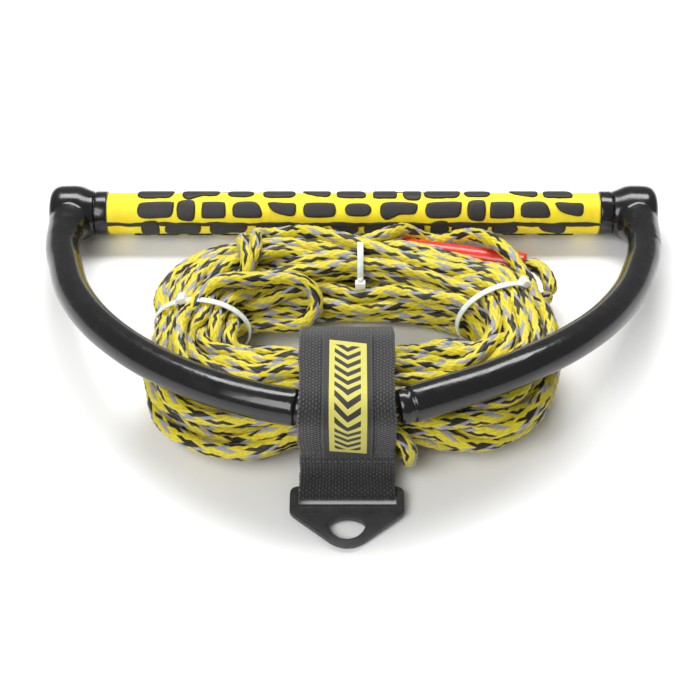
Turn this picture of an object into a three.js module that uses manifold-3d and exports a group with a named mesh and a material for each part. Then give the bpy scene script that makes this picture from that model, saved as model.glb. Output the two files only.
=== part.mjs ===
// Tow rope handle: a padded bar with two moulded arms, strapped on top of its coiled tow rope.
// Millimetres, +Z up, +X along the bar, +Y towards the bar. The strap's underside is at Z = 0.
import * as THREE from 'three';
import { mergeVertices } from 'three/addons/utils/BufferGeometryUtils.js';
import Module from 'manifold-3d';

const wasm = await Module();
wasm.setup();

// ---- Driving dimensions ----
const GAP = 0.3;                       // clearance between pieces that touch on the real object
const HALF_WIDTH = 188;                // half of the overall width, close to 15 inches
const BAR_Y = 117;                     // bar axis
const BAR_Z = 17.7;
const HANDLE_TILT = Math.atan2(39.8, 203);  // the arms rise from the bar to the coil
const CAP_RADIUS = 17.4;
const CAP_INNER_X = 160.6;             // where each end cap stops
const COLLAR_INNER_X = 152.6;
const GRIP_RADIUS = 13.75;
const TUBE_RADIUS = 11.1;              // 7/8 inch aluminium tube
const TUBE_WALL = 1.6;
const TUBE_HALF = 170;
const ARM_RADIUS = 10;
const ARM_BORE = 4.9;
const ROPE_RADIUS = 4.25;
const ARM_ROOT_X = 176.8;              // where an arm leaves its cap
const BEND_RADIUS = 12;                // the rope's turn from an arm into the bar
const PLUG_LENGTH = 20;
const COIL = { y: -0.5, a: 87.3, b: 55, squareness: 2.6 };
const TIE = { width: 3.6, thickness: 1.2, clearance: 1.1 };
const STRAP = { x: -3.8, width: 50.8, thickness: 1.8 };
const STRAPPED = { radius: 27, z: 31.5 };  // the coil's section where the strap holds it
const BUNDLE_CLEAR = STRAPPED.z - 1.8; // inside radius of the strap round the coil
const ARMS_CLEAR = 10.8;               // inside radius of the strap over the arms
const TAB = { y: -98, z: 5.3, half: 30.5, depth: 36, thickness: 3, tilt: 5.4 * Math.PI / 180 };
const TAB_BAR = 2.3;                  // half depth of the bar that the strap's eye turns round
const EYE_RADIUS = 3.4;                // inside radius of that eye
const GUARD = { radius: 6.5, bore: 4.9, start: [29, 82.4, 19.4], end: [103, 64.4, 22.4] };

// ---- Helpers ----
const deg = (angle) => angle * Math.PI / 180;
const v2 = (x, y) => new THREE.Vector2(x, y);
const v3 = (x, y, z) => new THREE.Vector3(x, y, z);
const finish = (color, roughness, metalness = 0) =>
  new THREE.MeshStandardMaterial({ color, roughness, metalness });

const FINISHES = {
  aluminium: finish(0xb9bcc0, 0.35, 0.9),
  foam: finish(0xf2dd12, 0.7),
  blackMoulding: finish(0x0b0b0c, 0.18),
  plug: finish(0x2a2a2c, 0.6),
  rope: finish(0xd9cf1e, 0.6),
  redTube: finish(0xe0341c, 0.35),
  nylon: finish(0xe8e8e2, 0.4),
  webbing: finish(0x1b1b1c, 0.85),
  label: finish(0xcfd14a, 0.6),
  hookAndLoop: finish(0x161617, 0.95),
  tab: finish(0x333436, 0.55),
};

// A curve through its points that is stepped evenly between them, so close points give a finer tube.
class Route extends THREE.CatmullRomCurve3 {
  constructor(points) {
    super(points, false, 'centripetal');
  }

  getPointAt(t, target) {
    return this.getPoint(t, target);
  }

  getTangentAt(t, target) {
    return this.getTangent(t, target);
  }

  getSpacedPoints(divisions) {
    return this.getPoints(divisions);
  }
}

function polygon(radius, sides) {
  const corner = (i) => v2(radius * Math.cos(2 * Math.PI * i / sides), radius * Math.sin(2 * Math.PI * i / sides));
  return new THREE.Shape(Array.from({ length: sides }, (_, i) => corner(i)));
}

function sweep(points, radius, sides, stepsPerSpan) {
  const path = new Route(points);
  const steps = (points.length - 1) * stepsPerSpan;
  return new THREE.ExtrudeGeometry(polygon(radius, sides), { steps, extrudePath: path, bevelEnabled: false });
}

// Turns a profile of [radius, distance] pairs about the X axis.
function revolve(profile, segments = 32) {
  const points = profile.map(([radius, x]) => v2(radius, x));
  return new THREE.LatheGeometry(points, segments).rotateZ(-Math.PI / 2);
}

function ring(inner, outer, from, to, segments = 32) {
  return revolve([[inner, from], [outer, from], [outer, to], [inner, to], [inner, from]], segments);
}

function bare(geometry) {
  const copy = geometry.clone();
  copy.deleteAttribute('normal');
  copy.deleteAttribute('uv');
  return mergeVertices(copy, 1e-4);
}

function solid(geometry) {
  const merged = bare(geometry);
  const vertProperties = new Float32Array(merged.attributes.position.array);
  const triVerts = new Uint32Array(merged.index.array);
  return new wasm.Manifold(new wasm.Mesh({ numProp: 3, vertProperties, triVerts }));
}

function geometryOf(manifold) {
  const mesh = manifold.getMesh();
  const geometry = new THREE.BufferGeometry();
  geometry.setAttribute('position', new THREE.BufferAttribute(mesh.vertProperties, 3));
  geometry.setIndex(new THREE.BufferAttribute(mesh.triVerts, 1));
  geometry.computeVertexNormals();
  return geometry;
}

function join(...geometries) {
  return geometries.map(solid).reduce((whole, piece) => whole.add(piece));
}

function cut(whole, ...geometries) {
  return geometries.map(solid).reduce((left, piece) => left.subtract(piece), whole);
}

const object = new THREE.Group();
const handle = new THREE.Group();      // its own X axis is the bar, and -Y runs out along the arms
handle.position.set(0, BAR_Y, BAR_Z);
handle.rotation.x = -HANDLE_TILT;
object.add(handle);

function place(group, name, geometry, material) {
  const mesh = new THREE.Mesh(geometry, material);
  mesh.name = name;
  group.add(mesh);
  return mesh;
}

// ---- Bar: tube, foam sleeve, collars and the plugs in the tube's ends ----
function makeBar() {
  place(handle, 'bar_tube', ring(TUBE_RADIUS - TUBE_WALL, TUBE_RADIUS, -TUBE_HALF, TUBE_HALF), FINISHES.aluminium);
  const sleeveEnd = COLLAR_INNER_X - GAP;
  const sleeve = ring(TUBE_RADIUS + GAP, GRIP_RADIUS, -sleeveEnd, sleeveEnd, 40);
  place(handle, 'grip_sleeve', sleeve, FINISHES.foam);
  for (const side of [-1, 1]) {
    const ends = [side * COLLAR_INNER_X, side * (CAP_INNER_X - GAP)].sort((p, q) => p - q);
    const edge = 0.8;
    const inner = TUBE_RADIUS + GAP;
    const profile = [[inner, ends[0]], [GRIP_RADIUS - edge, ends[0]], [GRIP_RADIUS, ends[0] + edge],
      [GRIP_RADIUS, ends[1] - edge], [GRIP_RADIUS - edge, ends[1]], [inner, ends[1]], [inner, ends[0]]];
    place(handle, `${sideName(side)}_grip_collar`, revolve(profile, 40), FINISHES.blackMoulding);
    const plugOuter = side * (ARM_ROOT_X - BEND_RADIUS);
    const plugEnds = [plugOuter, plugOuter - side * PLUG_LENGTH].sort((p, q) => p - q);
    const plug = ring(ARM_BORE, TUBE_RADIUS - TUBE_WALL - GAP, ...plugEnds, 24);
    place(handle, `${sideName(side)}_tube_plug`, plug, FINISHES.plug);
  }
}

// ---- Arms: each centre line as [distance from the middle, from the bar, and out of the handle's plane] ----
// The arms are supple, so the strap has drawn the left one a little further forward than the right.
const ARM_ROOT = [[ARM_ROOT_X, 14], [ARM_ROOT_X, 26]];
const ARM_LINES = {
  left: [...ARM_ROOT, [175.4, 42], [171.6, 58.6], [161.7, 92], [144.9, 123.8], [122.1, 152], [98.3, 173], [73.1, 189.6],
    [49, 200.6], [29.5, 206.6]],
  right: [...ARM_ROOT, [174.8, 43], [170.6, 61], [159.1, 92.6, 0.4], [140.7, 125.2, 2.4], [118.4, 152.4, 4.4], [94.6, 172.4, 4.8],
    [72, 185.8, 3.4], [50.2, 196.6, 2.6], [29.5, 204.8, 1]],
};
const ARM_MOUTH = [21.5, 207.3];
const KNOT = { y: -209.4, size: [12.4, 7.6, 7.4] };

const armPoint = (side) => ([x, s, n = 0]) => v3(side * x, -s, n);
const sideName = (side) => (side < 0 ? 'left' : 'right');
const armLine = (side) => ARM_LINES[sideName(side)].map(armPoint(side));

function ropeBend(side) {
  const centreX = ARM_ROOT_X - BEND_RADIUS;
  return [0, 22.5, 45, 67.5, 90].map((turn) => v3(
    side * (centreX + BEND_RADIUS * Math.cos(deg(turn))), -BEND_RADIUS * (1 - Math.sin(deg(turn))), 0));
}

// The rope's line from the knot, down one arm, round the bend and into the bar.
function ropeLine(side) {
  const toMouth = [v3(side * (KNOT.size[0] + 0.5), KNOT.y + 0.4, 0), armPoint(side)(ARM_MOUTH)];
  return [...toMouth, ...armLine(side).reverse(), ...ropeBend(side)];
}

function makeArm(side) {
  const turned = (geometry) => (side > 0 ? geometry.rotateY(Math.PI) : geometry);
  const end = -HALF_WIDTH;
  const cap = turned(revolve([[0, end], [11.4, end], [14.4, end + 0.9], [16.4, end + 3.2], [17.2, end + 6.4],
    [CAP_RADIUS, end + 10], [CAP_RADIUS, -172], [16.8, -168.5], [15.4, -165.2], [14.2, -162.6],
    [GRIP_RADIUS, -CAP_INNER_X], [0, -CAP_INNER_X]], 36));
  const root = revolve([[0, 2], [10.7, 2], [10.5, 12], [10.2, 30], [9.7, 38], [0, 38]], 24);
  root.rotateZ(-Math.PI / 2).translate(side * ARM_ROOT_X, 0, 0);
  const line = armLine(side);
  const tube = sweep([v3(side * ARM_ROOT_X, -2, 0), ...line], ARM_RADIUS, 16, 2);
  // The mouth is a rounded bead behind a narrow groove.
  const mouth = armPoint(side)(ARM_MOUTH);
  const last = line[line.length - 1];
  const along = mouth.clone().sub(last);
  const reach = along.length();
  const bead = revolve([[0, -1.5], [8.6, -1.5], [8.6, 1.4], [9.3, 2.2], [9.4, reach - 3.2], [8.6, reach - 1.1],
    [6.9, reach], [0, reach]], 24);
  bead.rotateZ(Math.atan2(along.y, along.x)).translate(last.x, last.y, 0);
  const beyond = along.clone().normalize().multiplyScalar(6).add(mouth);
  const boreLine = [beyond, mouth, ...armLine(side).reverse(), ...ropeBend(side), v3(side * COLLAR_INNER_X, 0, 0)];
  const bore = sweep(boreLine, ARM_BORE, 8, 2);
  const socket = turned(revolve([[0, -TUBE_HALF - GAP], [TUBE_RADIUS + GAP, -TUBE_HALF - GAP],
    [TUBE_RADIUS + GAP, -CAP_INNER_X + 5], [0, -CAP_INNER_X + 5]]));
  // A small relief separates the cap's skirt from the arm.
  const relief = new THREE.CylinderGeometry(2, 2, 60, 12).rotateX(Math.PI / 2).translate(side * 165.2, -17.6, 0);
  const arm = geometryOf(cut(join(cap, root, tube, bead), bore, socket, relief));
  place(handle, `${sideName(side)}_bridle_arm`, arm, FINISHES.blackMoulding);
}

function makeBridle() {
  const left = ropeLine(-1);
  const right = [...ropeLine(1)].reverse();
  const middle = [-120, -40, 40, 120].map((x) => v3(x, 0, 0));
  const rope = sweep([...left, ...middle, ...right], ROPE_RADIUS, 8, 2);
  place(handle, 'bridle_rope', rope, FINISHES.rope);
  const knot = new THREE.SphereGeometry(1, 20, 12).rotateZ(Math.PI / 2).scale(...KNOT.size).translate(0, KNOT.y, 0);
  place(handle, 'bridle_knot', knot, FINISHES.rope);
}

// ---- Coil: a rounded oval ring that lies flat, drawn in where the ties, the strap and the guard hold it ----
const LOOSE = { wide: 32, high: 21, z: 21.4, out: 0 };
const TIES = [
  { name: 'left_cable_tie', at: deg(174), flat: deg(2), fade: deg(24), wide: 26, high: 20.5, z: 22.9, out: 0, head: deg(70) },
  { name: 'centre_cable_tie', at: deg(89), flat: deg(2), fade: deg(26), wide: 14.4, high: 14.4, z: 29.6, out: 0, head: deg(175) },
  { name: 'right_cable_tie', at: deg(17), flat: deg(2), fade: deg(20), wide: 25, high: 20.5, z: 22.9, out: 0, head: deg(60) },
];
const HOLDS = [
  ...TIES,
  { at: deg(270), flat: deg(17), fade: deg(18), wide: STRAPPED.radius, high: STRAPPED.radius, z: STRAPPED.z, out: 0 },
  { at: deg(52), flat: deg(10), fade: deg(18), wide: 20.4, high: 19, z: 19.6, out: 0 },
  { at: deg(222), flat: deg(8), fade: deg(22), wide: 35.6, high: 21, z: 21.4, out: 5 },
  { at: deg(318), flat: deg(8), fade: deg(22), wide: 35.6, high: 21, z: 21.4, out: 5 },
];

const signedPower = (value, power) => Math.sign(value) * Math.abs(value) ** power;

// The coil's section at an angle round the ring: half width, half height, middle height and shift outwards.
function coilSection(angle) {
  const weights = HOLDS.map(({ at, flat, fade }) => {
    const away = Math.abs(Math.atan2(Math.sin(angle - at), Math.cos(angle - at)));
    return 1 - THREE.MathUtils.smoothstep(away, flat, flat + fade);
  });
  const mix = (key) => LOOSE[key] + HOLDS.reduce((sum, hold, i) => sum + weights[i] * (hold[key] - LOOSE[key]), 0);
  return { wide: mix('wide'), high: mix('high'), z: mix('z'), out: mix('out') };
}

function ovalPoint(angle) {
  const power = 2 / COIL.squareness;
  return v3(COIL.a * signedPower(Math.cos(angle), power), COIL.y + COIL.b * signedPower(Math.sin(angle), power), 0);
}

function coilOutward(angle) {
  const step = 1e-3;
  const tangent = ovalPoint(angle + step).sub(ovalPoint(angle - step)).normalize();
  return v3(tangent.y, -tangent.x, 0);
}

function coilCentre(angle) {
  const { out, z } = coilSection(angle);
  return ovalPoint(angle).addScaledVector(coilOutward(angle), out).setZ(z);
}

function makeCoil() {
  const turns = 64;
  const sides = 14;
  const geometry = new THREE.TorusGeometry(1, 0.5, sides, turns);
  const position = geometry.attributes.position;
  for (let j = 0; j <= sides; j++) {
    for (let i = 0; i <= turns; i++) {
      const angle = 2 * Math.PI * (i % turns) / turns;
      const round = 2 * Math.PI * (j % sides) / sides;
      const { wide, high } = coilSection(angle);
      const point = coilCentre(angle).addScaledVector(coilOutward(angle), wide * Math.cos(round));
      position.setXYZ(j * (turns + 1) + i, point.x, point.y, point.z + high * Math.sin(round));
    }
  }
  place(object, 'rope_hank', geometryOf(solid(geometry)), FINISHES.rope);
}

function makeTie({ name, at, head }) {
  const { wide, high } = coilSection(at);
  const inner = wide + TIE.clearance;
  const band = ring(inner, inner + TIE.thickness, -TIE.width / 2, TIE.width / 2, 40);
  const lock = new THREE.BoxGeometry(6, 5, 4.4).translate(0, inner + 2.7, 0).rotateX(head);
  const tie = geometryOf(join(band, lock)).scale(1, 1, (high + TIE.clearance) / inner);
  const mesh = place(object, name, tie, FINISHES.nylon);
  const outward = coilOutward(at);
  mesh.position.copy(coilCentre(at));
  mesh.rotation.z = Math.atan2(outward.y, outward.x) - Math.PI / 2;
}

// ---- Ropes that leave the coil: the leader from the knot, and the loop that goes over a boat's hook ----
const LEADER = [[5.4, -87.4, 48.2], [10.5, -86.6, 45.4], [17.5, -87, 42.2], [24.6, -88.6, 37.4], [28.6, -89.2, 30.4],
  [29.6, -88, 22.6], [29.4, -84.8, 15.6], [29, -80.6, 10.8]];
const LOOP = [[-20, 70, 5.4], [-10, 74, 5.6], [-1, 77.6, 7.4], [7, 81.4, 11], [14, 84, 15.2], [21, 84.2, 18.4],
  [29, 82.4, 19.4], [66, 73.4, 20.9], [103, 64.4, 22.4], [109.4, 61.6, 22.6], [114, 56, 22], [116, 48, 21.2],
  [115.6, 40, 20.8]];

function makeFreeRopes() {
  const rope = (points) => sweep(points.map((p) => v3(...p)), ROPE_RADIUS, 8, 2);
  place(object, 'leader_rope', rope(LEADER), FINISHES.rope);
  place(object, 'tow_loop_rope', rope(LOOP), FINISHES.rope);
  const start = v3(...GUARD.start);
  const along = v3(...GUARD.end).sub(start);
  const guard = place(object, 'loop_guard', ring(GUARD.bore, GUARD.radius, 0, along.length(), 28), FINISHES.redTube);
  guard.position.copy(start);
  guard.quaternion.setFromUnitVectors(v3(1, 0, 0), along.normalize());
}

// ---- Strap, drawn as its middle line in the (Y, Z) plane ----
const BUNDLE = v2(COIL.y - COIL.b, STRAPPED.z);
const ARMS = v2(-86.2, 58.2);
const onCircle = (centre, radius, angle) => v2(centre.x + radius * Math.cos(angle), centre.y + radius * Math.sin(angle));
const HALF_T = STRAP.thickness / 2;
const OVER_BUNDLE = BUNDLE_CLEAR + HALF_T;
const OVER_OVERLAP = OVER_BUNDLE + STRAP.thickness + 2.7;   // the hook and loop pads lie between the layers
const OVER_ARMS = ARMS_CLEAR + HALF_T;

function arc(centre, radius, from, to, steps) {
  return Array.from({ length: steps + 1 }, (_, i) => onCircle(centre, radius, from + (to - from) * i / steps));
}

// The angle at which a straight stretch leaves both circles, on the side given.
function tangentAngle(first, firstRadius, second, secondRadius, side) {
  const across = second.clone().sub(first);
  return across.angle() + side * Math.acos((firstRadius - secondRadius) / across.length());
}

const FRONT_ANGLE = tangentAngle(BUNDLE, OVER_OVERLAP, ARMS, OVER_ARMS, 1);
const TOP_ANGLE = tangentAngle(BUNDLE, OVER_BUNDLE, ARMS, OVER_ARMS, -1);
const TAB_EYE = v2(TAB.y, TAB.z);

function eyeStretch() {
  const radius = EYE_RADIUS + HALF_T;
  const foldedEnd = [v2(-88.2, 8.6), v2(-89.6, 4.4), v2(-92.8, 1.75)];
  const eye = arc(TAB_EYE, radius, deg(275), deg(92), 12);
  const fold = [v2(-95.2, 9.9), v2(-92.4, 11.2), v2(-90.6, 14), v2(-89.9, 18)];
  return [...foldedEnd, ...eye, ...fold];
}

const frontStretch = () => [onCircle(BUNDLE, OVER_OVERLAP, FRONT_ANGLE), ...arc(ARMS, OVER_ARMS, FRONT_ANGLE, TOP_ANGLE, 10)];

// Below, the strap lies flat on what the coil rests on.
function underStretch() {
  const back = arc(BUNDLE, OVER_BUNDLE, TOP_ANGLE, deg(-82), 14);
  const front = arc(BUNDLE, OVER_BUNDLE, deg(-98), FRONT_ANGLE - deg(360), 8);
  back[back.length - 1].y = HALF_T;
  front[0].y = HALF_T;
  const last = front[front.length - 1];
  const up = onCircle(ARMS, OVER_ARMS, FRONT_ANGLE).sub(onCircle(BUNDLE, OVER_OVERLAP, FRONT_ANGLE)).normalize();
  return [...back, ...front, last.clone().addScaledVector(up, 7)];
}

function normalAt(line, i) {
  const before = line[Math.max(i - 1, 0)];
  const after = line[Math.min(i + 1, line.length - 1)];
  const along = after.clone().sub(before).normalize();
  return v2(-along.y, along.x);
}

// A flat band whose cross-section follows a line, from one offset to another off that line.
function ribbon(line, from, to, width) {
  const side = (offset) => line.map((p, i) => p.clone().addScaledVector(normalAt(line, i), offset));
  const shape = new THREE.Shape([...side(from), ...side(to).reverse()]);
  const band = new THREE.ExtrudeGeometry(shape, { depth: width, steps: 1, bevelEnabled: false });
  // The shape's x and y are the object's Y and Z.
  const toFrame = new THREE.Matrix4().makeBasis(v3(0, 1, 0), v3(0, 0, 1), v3(1, 0, 0));
  return band.applyMatrix4(toFrame).translate(STRAP.x - width / 2, 0, 0);
}

function makeStrap() {
  const line = [...eyeStretch(), ...frontStretch(), ...underStretch()];
  place(object, 'wrap_strap', ribbon(line, -HALF_T, HALF_T, STRAP.width), FINISHES.webbing);
  const labelLine = [...frontStretch(), onCircle(BUNDLE, OVER_BUNDLE, TOP_ANGLE), onCircle(BUNDLE, OVER_BUNDLE, TOP_ANGLE - deg(8))];
  place(object, 'label_patch', ribbon(labelLine, HALF_T + GAP, HALF_T + GAP + 0.8, 27), FINISHES.label);
  const up = onCircle(ARMS, OVER_ARMS, FRONT_ANGLE).sub(onCircle(BUNDLE, OVER_OVERLAP, FRONT_ANGLE)).normalize();
  const padLine = (radius) => {
    const curve = arc(BUNDLE, radius, deg(207), FRONT_ANGLE, 4);
    return [...curve, curve[curve.length - 1].clone().addScaledVector(up, 6)];
  };
  const padInner = OVER_BUNDLE + HALF_T;
  place(object, 'hook_patch', ribbon(padLine(padInner + 0.75), -0.45, 0.45, 46), FINISHES.hookAndLoop);
  place(object, 'loop_patch', ribbon(padLine(padInner + 1.95), -0.45, 0.45, 46), FINISHES.hookAndLoop);
}

// ---- Hang tab: a moulded plate with a slot for the strap and a hole to hang it by ----
function tabOutline() {
  const outline = new THREE.Shape();
  const corner = 5;
  const side = -14.5;
  outline.moveTo(-TAB.half + corner, TAB_BAR);
  outline.quadraticCurveTo(-TAB.half, TAB_BAR, -TAB.half, TAB_BAR - corner);
  outline.lineTo(-TAB.half, side + 2);
  outline.quadraticCurveTo(-TAB.half, side, -TAB.half + 2.6, side - 2.4);
  outline.lineTo(-9, -TAB.depth + 3.6);
  outline.quadraticCurveTo(0, -TAB.depth - 2.6, 9, -TAB.depth + 3.6);
  outline.lineTo(TAB.half - 2.6, side - 2.4);
  outline.quadraticCurveTo(TAB.half, side, TAB.half, side + 2);
  outline.lineTo(TAB.half, TAB_BAR - corner);
  outline.quadraticCurveTo(TAB.half, TAB_BAR, TAB.half - corner, TAB_BAR);
  return outline;
}

function makeTab() {
  const shape = tabOutline();
  const slotHalf = STRAP.width / 2 + 0.8;
  const slotFar = -9.2;
  shape.holes.push(new THREE.Path([v2(-slotHalf, -TAB_BAR), v2(slotHalf, -TAB_BAR), v2(slotHalf, slotFar), v2(-slotHalf, slotFar)]));
  const hole = new THREE.Path();
  hole.moveTo(-9.8, -22.6);
  hole.bezierCurveTo(-6.5, -16.6, 6.5, -16.6, 9.8, -22.6);
  hole.bezierCurveTo(7.2, -33.6, -7.2, -33.6, -9.8, -22.6);
  shape.holes.push(hole);
  const plate = new THREE.ExtrudeGeometry(shape, { depth: TAB.thickness, bevelEnabled: false, curveSegments: 8 });
  const tab = place(object, 'hang_tab', plate.translate(0, 0, -TAB.thickness / 2), FINISHES.tab);
  tab.position.set(STRAP.x, TAB.y, TAB.z);
  tab.rotation.x = TAB.tilt;
}

makeBar();
[-1, 1].forEach(makeArm);
makeBridle();
makeCoil();
TIES.forEach(makeTie);
makeFreeRopes();
makeStrap();
makeTab();

export default object;
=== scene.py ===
# %% [markdown]
# # A tow rope handle with its rope put away
# The object is a padded bar that a rider holds, two curved arms that lead to its rope, and the
# rope itself, wound into an oval coil that three cable ties and one broad strap hold together.
# The sizes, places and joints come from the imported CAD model. Most parts are made again here as
# what they are: braided rope, webbing, foam with raised pads, nylon ties and glossy mouldings.
# The bar's tube and its two plugs are the CAD shapes themselves.
# %% Load the frame
import math
import bpy
import bmesh
import numpy as np
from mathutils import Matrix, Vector


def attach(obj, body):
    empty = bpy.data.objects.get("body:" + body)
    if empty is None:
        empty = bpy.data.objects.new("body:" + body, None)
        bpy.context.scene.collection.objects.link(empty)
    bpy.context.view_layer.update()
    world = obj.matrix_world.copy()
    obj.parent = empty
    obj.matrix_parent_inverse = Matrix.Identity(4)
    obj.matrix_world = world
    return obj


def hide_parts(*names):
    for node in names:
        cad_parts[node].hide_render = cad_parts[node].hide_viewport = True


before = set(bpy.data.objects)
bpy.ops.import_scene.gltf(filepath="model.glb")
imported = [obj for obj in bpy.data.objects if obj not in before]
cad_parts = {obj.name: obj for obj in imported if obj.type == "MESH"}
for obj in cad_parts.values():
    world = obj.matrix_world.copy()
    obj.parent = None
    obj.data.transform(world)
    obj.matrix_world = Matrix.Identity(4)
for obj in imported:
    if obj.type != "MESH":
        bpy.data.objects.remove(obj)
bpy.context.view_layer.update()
scene = bpy.context.scene
MM = 0.001

# %% [markdown]
# ## Camera
# The object lies flat and is looked at from the front, 45 degrees above the floor. A long lens
# from about a metre keeps the bar and the coil in nearly the same scale.
# %% Camera
camera = bpy.data.objects.new("Camera", bpy.data.cameras.new("Camera"))
scene.collection.objects.link(camera)
camera.location = (-0.0022, -0.651, 0.665)
camera.rotation_euler = (math.radians(45), 0, 0)
camera.data.lens = 82.48
scene.camera = camera
print("camera", round(camera.location.length, 3), "m from the middle")

# %% [markdown]
# ## The oval that the coil follows
# A rope wound over the hand and pulled long makes a squarish oval. Its bundle is round under the
# strap, tight in the cable ties and loose between them, so the bundle's half width, half height
# and middle height are mixed from a few named places round the oval.
# %% The oval and the bundle's section
OVAL = {"y": -0.5, "a": 87.3, "b": 55.0, "squareness": 2.6}
LOOSE = (33, 22, 22.4, -1)  # half width, half height, middle height, pushed outwards
# angle, held over, fades over, then the same four sizes
LEFT_TIE = (174, 2, 14, 25.8, 20.5, 22.9, 0)
CENTRE_TIE = (89, 2, 26, 14.4, 14.4, 29.6, 0)
RIGHT_TIE = (17, 2, 13, 25, 20.5, 22.9, 0)
STRAPPED = (270, 15, 15, 30.5, 30, 34.0, -3)
BESIDE_GUARD = (52, 10, 18, 26, 21, 21.4, -5.5)
FRONT_CORNERS = [(224, 12, 22, 44, 23, 23.4, 0), (314, 12, 22, 43, 23, 23.4, -6)]
HOLDS = [LEFT_TIE, CENTRE_TIE, RIGHT_TIE, STRAPPED, BESIDE_GUARD, *FRONT_CORNERS]
# The turns that don't fit in the centre tie pass below and in front of it.
UNDER_TIE = (89, 6, 24, 33, 17, 17, 3)


def oval_point(angle):
    c, s = np.cos(angle), np.sin(angle)
    power = 2 / OVAL["squareness"]
    return np.stack(
        [OVAL["a"] * np.sign(c) * abs(c) ** power,
         OVAL["y"] + OVAL["b"] * np.sign(s) * abs(s) ** power], -1)


def section_sizes(angle, holds):
    sizes = np.array([LOOSE] * len(angle), float)
    for at, held, fade, *values in holds:
        away = abs(np.angle(np.exp(1j * (angle - math.radians(at)))))
        t = np.clip((np.degrees(away) - held) / fade, 0, 1)
        weight = 1 - t * t * (3 - 2 * t)
        sizes += weight[:, None] * (np.array(values) - np.array(LOOSE))
    return sizes


def ring_table(holds, count=720):
    """Evenly spaced stations round the oval: centre, outward direction, half width, half height."""
    fine = np.linspace(0, 2 * np.pi, 20001)
    line = oval_point(fine)
    run = np.concatenate([[0], np.cumsum(np.linalg.norm(np.diff(line, axis=0), axis=1))])
    angle = np.interp(np.arange(count) / count * run[-1], run, fine)
    point = oval_point(angle)
    along = np.roll(point, -1, 0) - np.roll(point, 1, 0)
    along /= np.linalg.norm(along, axis=1)[:, None]
    outward = np.stack([along[:, 1], -along[:, 0]], -1)
    sizes = section_sizes(angle, holds)
    centre = np.column_stack([point + outward * sizes[:, 3:4], sizes[:, 2]])
    share = lambda degrees: np.interp(math.radians(degrees % 360), fine, run) / run[-1]
    return {"centre": centre, "out": outward, "wide": sizes[:, 0], "high": sizes[:, 1],
            "length": run[-1], "share": share}


RING = ring_table(HOLDS)
RING_UNDER = ring_table([UNDER_TIE if h is CENTRE_TIE else h for h in HOLDS])
print("one middle turn is", round(RING["length"]), "mm long")

# %% [markdown]
# ## Laying the rope
# About 55 feet of rope makes thirty turns. Every turn takes a place in a packed bundle, shifts
# to the next place once per turn, and wanders a little, as rope wound by hand does.
# %% First guess of the route
ROPE = 8.5           # rope diameter
STEP = 6.0           # distance between points of the route
SHARPEST_TURN = 0.36  # radians from one point to the next
FLOOR_GAP = 0.2      # keeps the raised strands of the lowest turns off the floor
rng = np.random.default_rng(7)


def packed_places(count):
    """Places in a unit disk, hexagonally packed, in rows like a winding."""
    pitch = 0.5
    while True:
        rows = [(x * pitch + (j % 2) * pitch / 2, j * pitch * math.sqrt(0.75))
                for j in range(-9, 10) for x in range(-9, 10)]
        inside = [p for p in rows if math.hypot(*p) <= 1]
        if len(inside) >= count:
            break
        pitch *= 0.98
    inside = sorted(inside, key=lambda p: math.hypot(*p))[:count]
    levels = sorted({round(p[1], 6) for p in inside})
    order = []
    for n, level in enumerate(levels):
        order += sorted((p for p in inside if round(p[1], 6) == level), reverse=bool(n % 2))
    return np.array(order)


def smooth_noise(length, knots):
    values = rng.uniform(-1, 1, (knots + 3, 2))
    x = np.linspace(0, knots, length)
    i = x.astype(int)
    t = (x - i)[:, None]
    t = t * t * (3 - 2 * t)
    return values[i] * (1 - t) + values[i + 1] * t


def ring_position(table, share, u, w, beyond=0.0):
    f = (share % 1) * len(table["wide"])
    i = f.astype(int) % len(table["wide"])
    j = (i + 1) % len(table["wide"])
    t = f - f.astype(int)
    mix = lambda a: a[i] * (1 - t) + a[j] * t if a.ndim == 1 else a[i] * (1 - t)[:, None] + a[j] * t[:, None]
    wide, high = mix(table["wide"]) - ROPE / 2 + beyond, mix(table["high"]) - ROPE / 2 + beyond
    point = mix(table["centre"])
    point[:, :2] += mix(table["out"]) * (u * wide)[:, None]
    point[:, 2] += w * high
    return point


START = RING["share"](285)
LAPS = 29
TURNS = LAPS + (RING["share"](27) - START) % 1
places = packed_places(LAPS + 2)
count = int(TURNS * RING["length"] / STEP)
travelled = np.linspace(0, TURNS, count)
turn = travelled.astype(int)
shift_at = rng.uniform(0.2, 0.8, len(places))
t = np.clip((travelled - turn - shift_at[turn]) / 0.16 + 0.5, 0, 1)
t = (t * t * (3 - 2 * t))[:, None]
spot = places[turn] * (1 - t) + places[turn + 1] * t + smooth_noise(count, int(TURNS * 5)) * 0.2
share = START + travelled
# the highest places at the back go through the centre tie
back = RING["share"](89)
lap = np.floor(share - back + 0.5).astype(int)
at_tie = {n: spot[lap == n][np.argmin(abs(share[lap == n] - back - n))] for n in set(lap)}
ranked = sorted(at_tie, key=lambda n: -(at_tie[n][1] - 0.55 * abs(at_tie[n][0] - 0.1)))
tied_laps = set(ranked[:11])
tied = np.array([n in tied_laps for n in lap])
route = np.where(tied[:, None], ring_position(RING, share, *spot.T),
                 ring_position(RING_UNDER, share, *spot.T))
print(count, "points,", len(tied_laps), "of", len(at_tie), "turns go through the centre tie")

# %% [markdown]
# ## Hops and a bight
# A hop is a short arc on the outside of the bundle. Its points are pinned, and the rest of that
# turn bends to meet them when the rope settles. The bight is a longer detour: back through the
# left tie after a fold at the front, and round inside the coil, where it shows.
# %% Hops and bights
pinned = np.zeros(len(route), bool)
free = np.zeros(len(route), bool)


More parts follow.
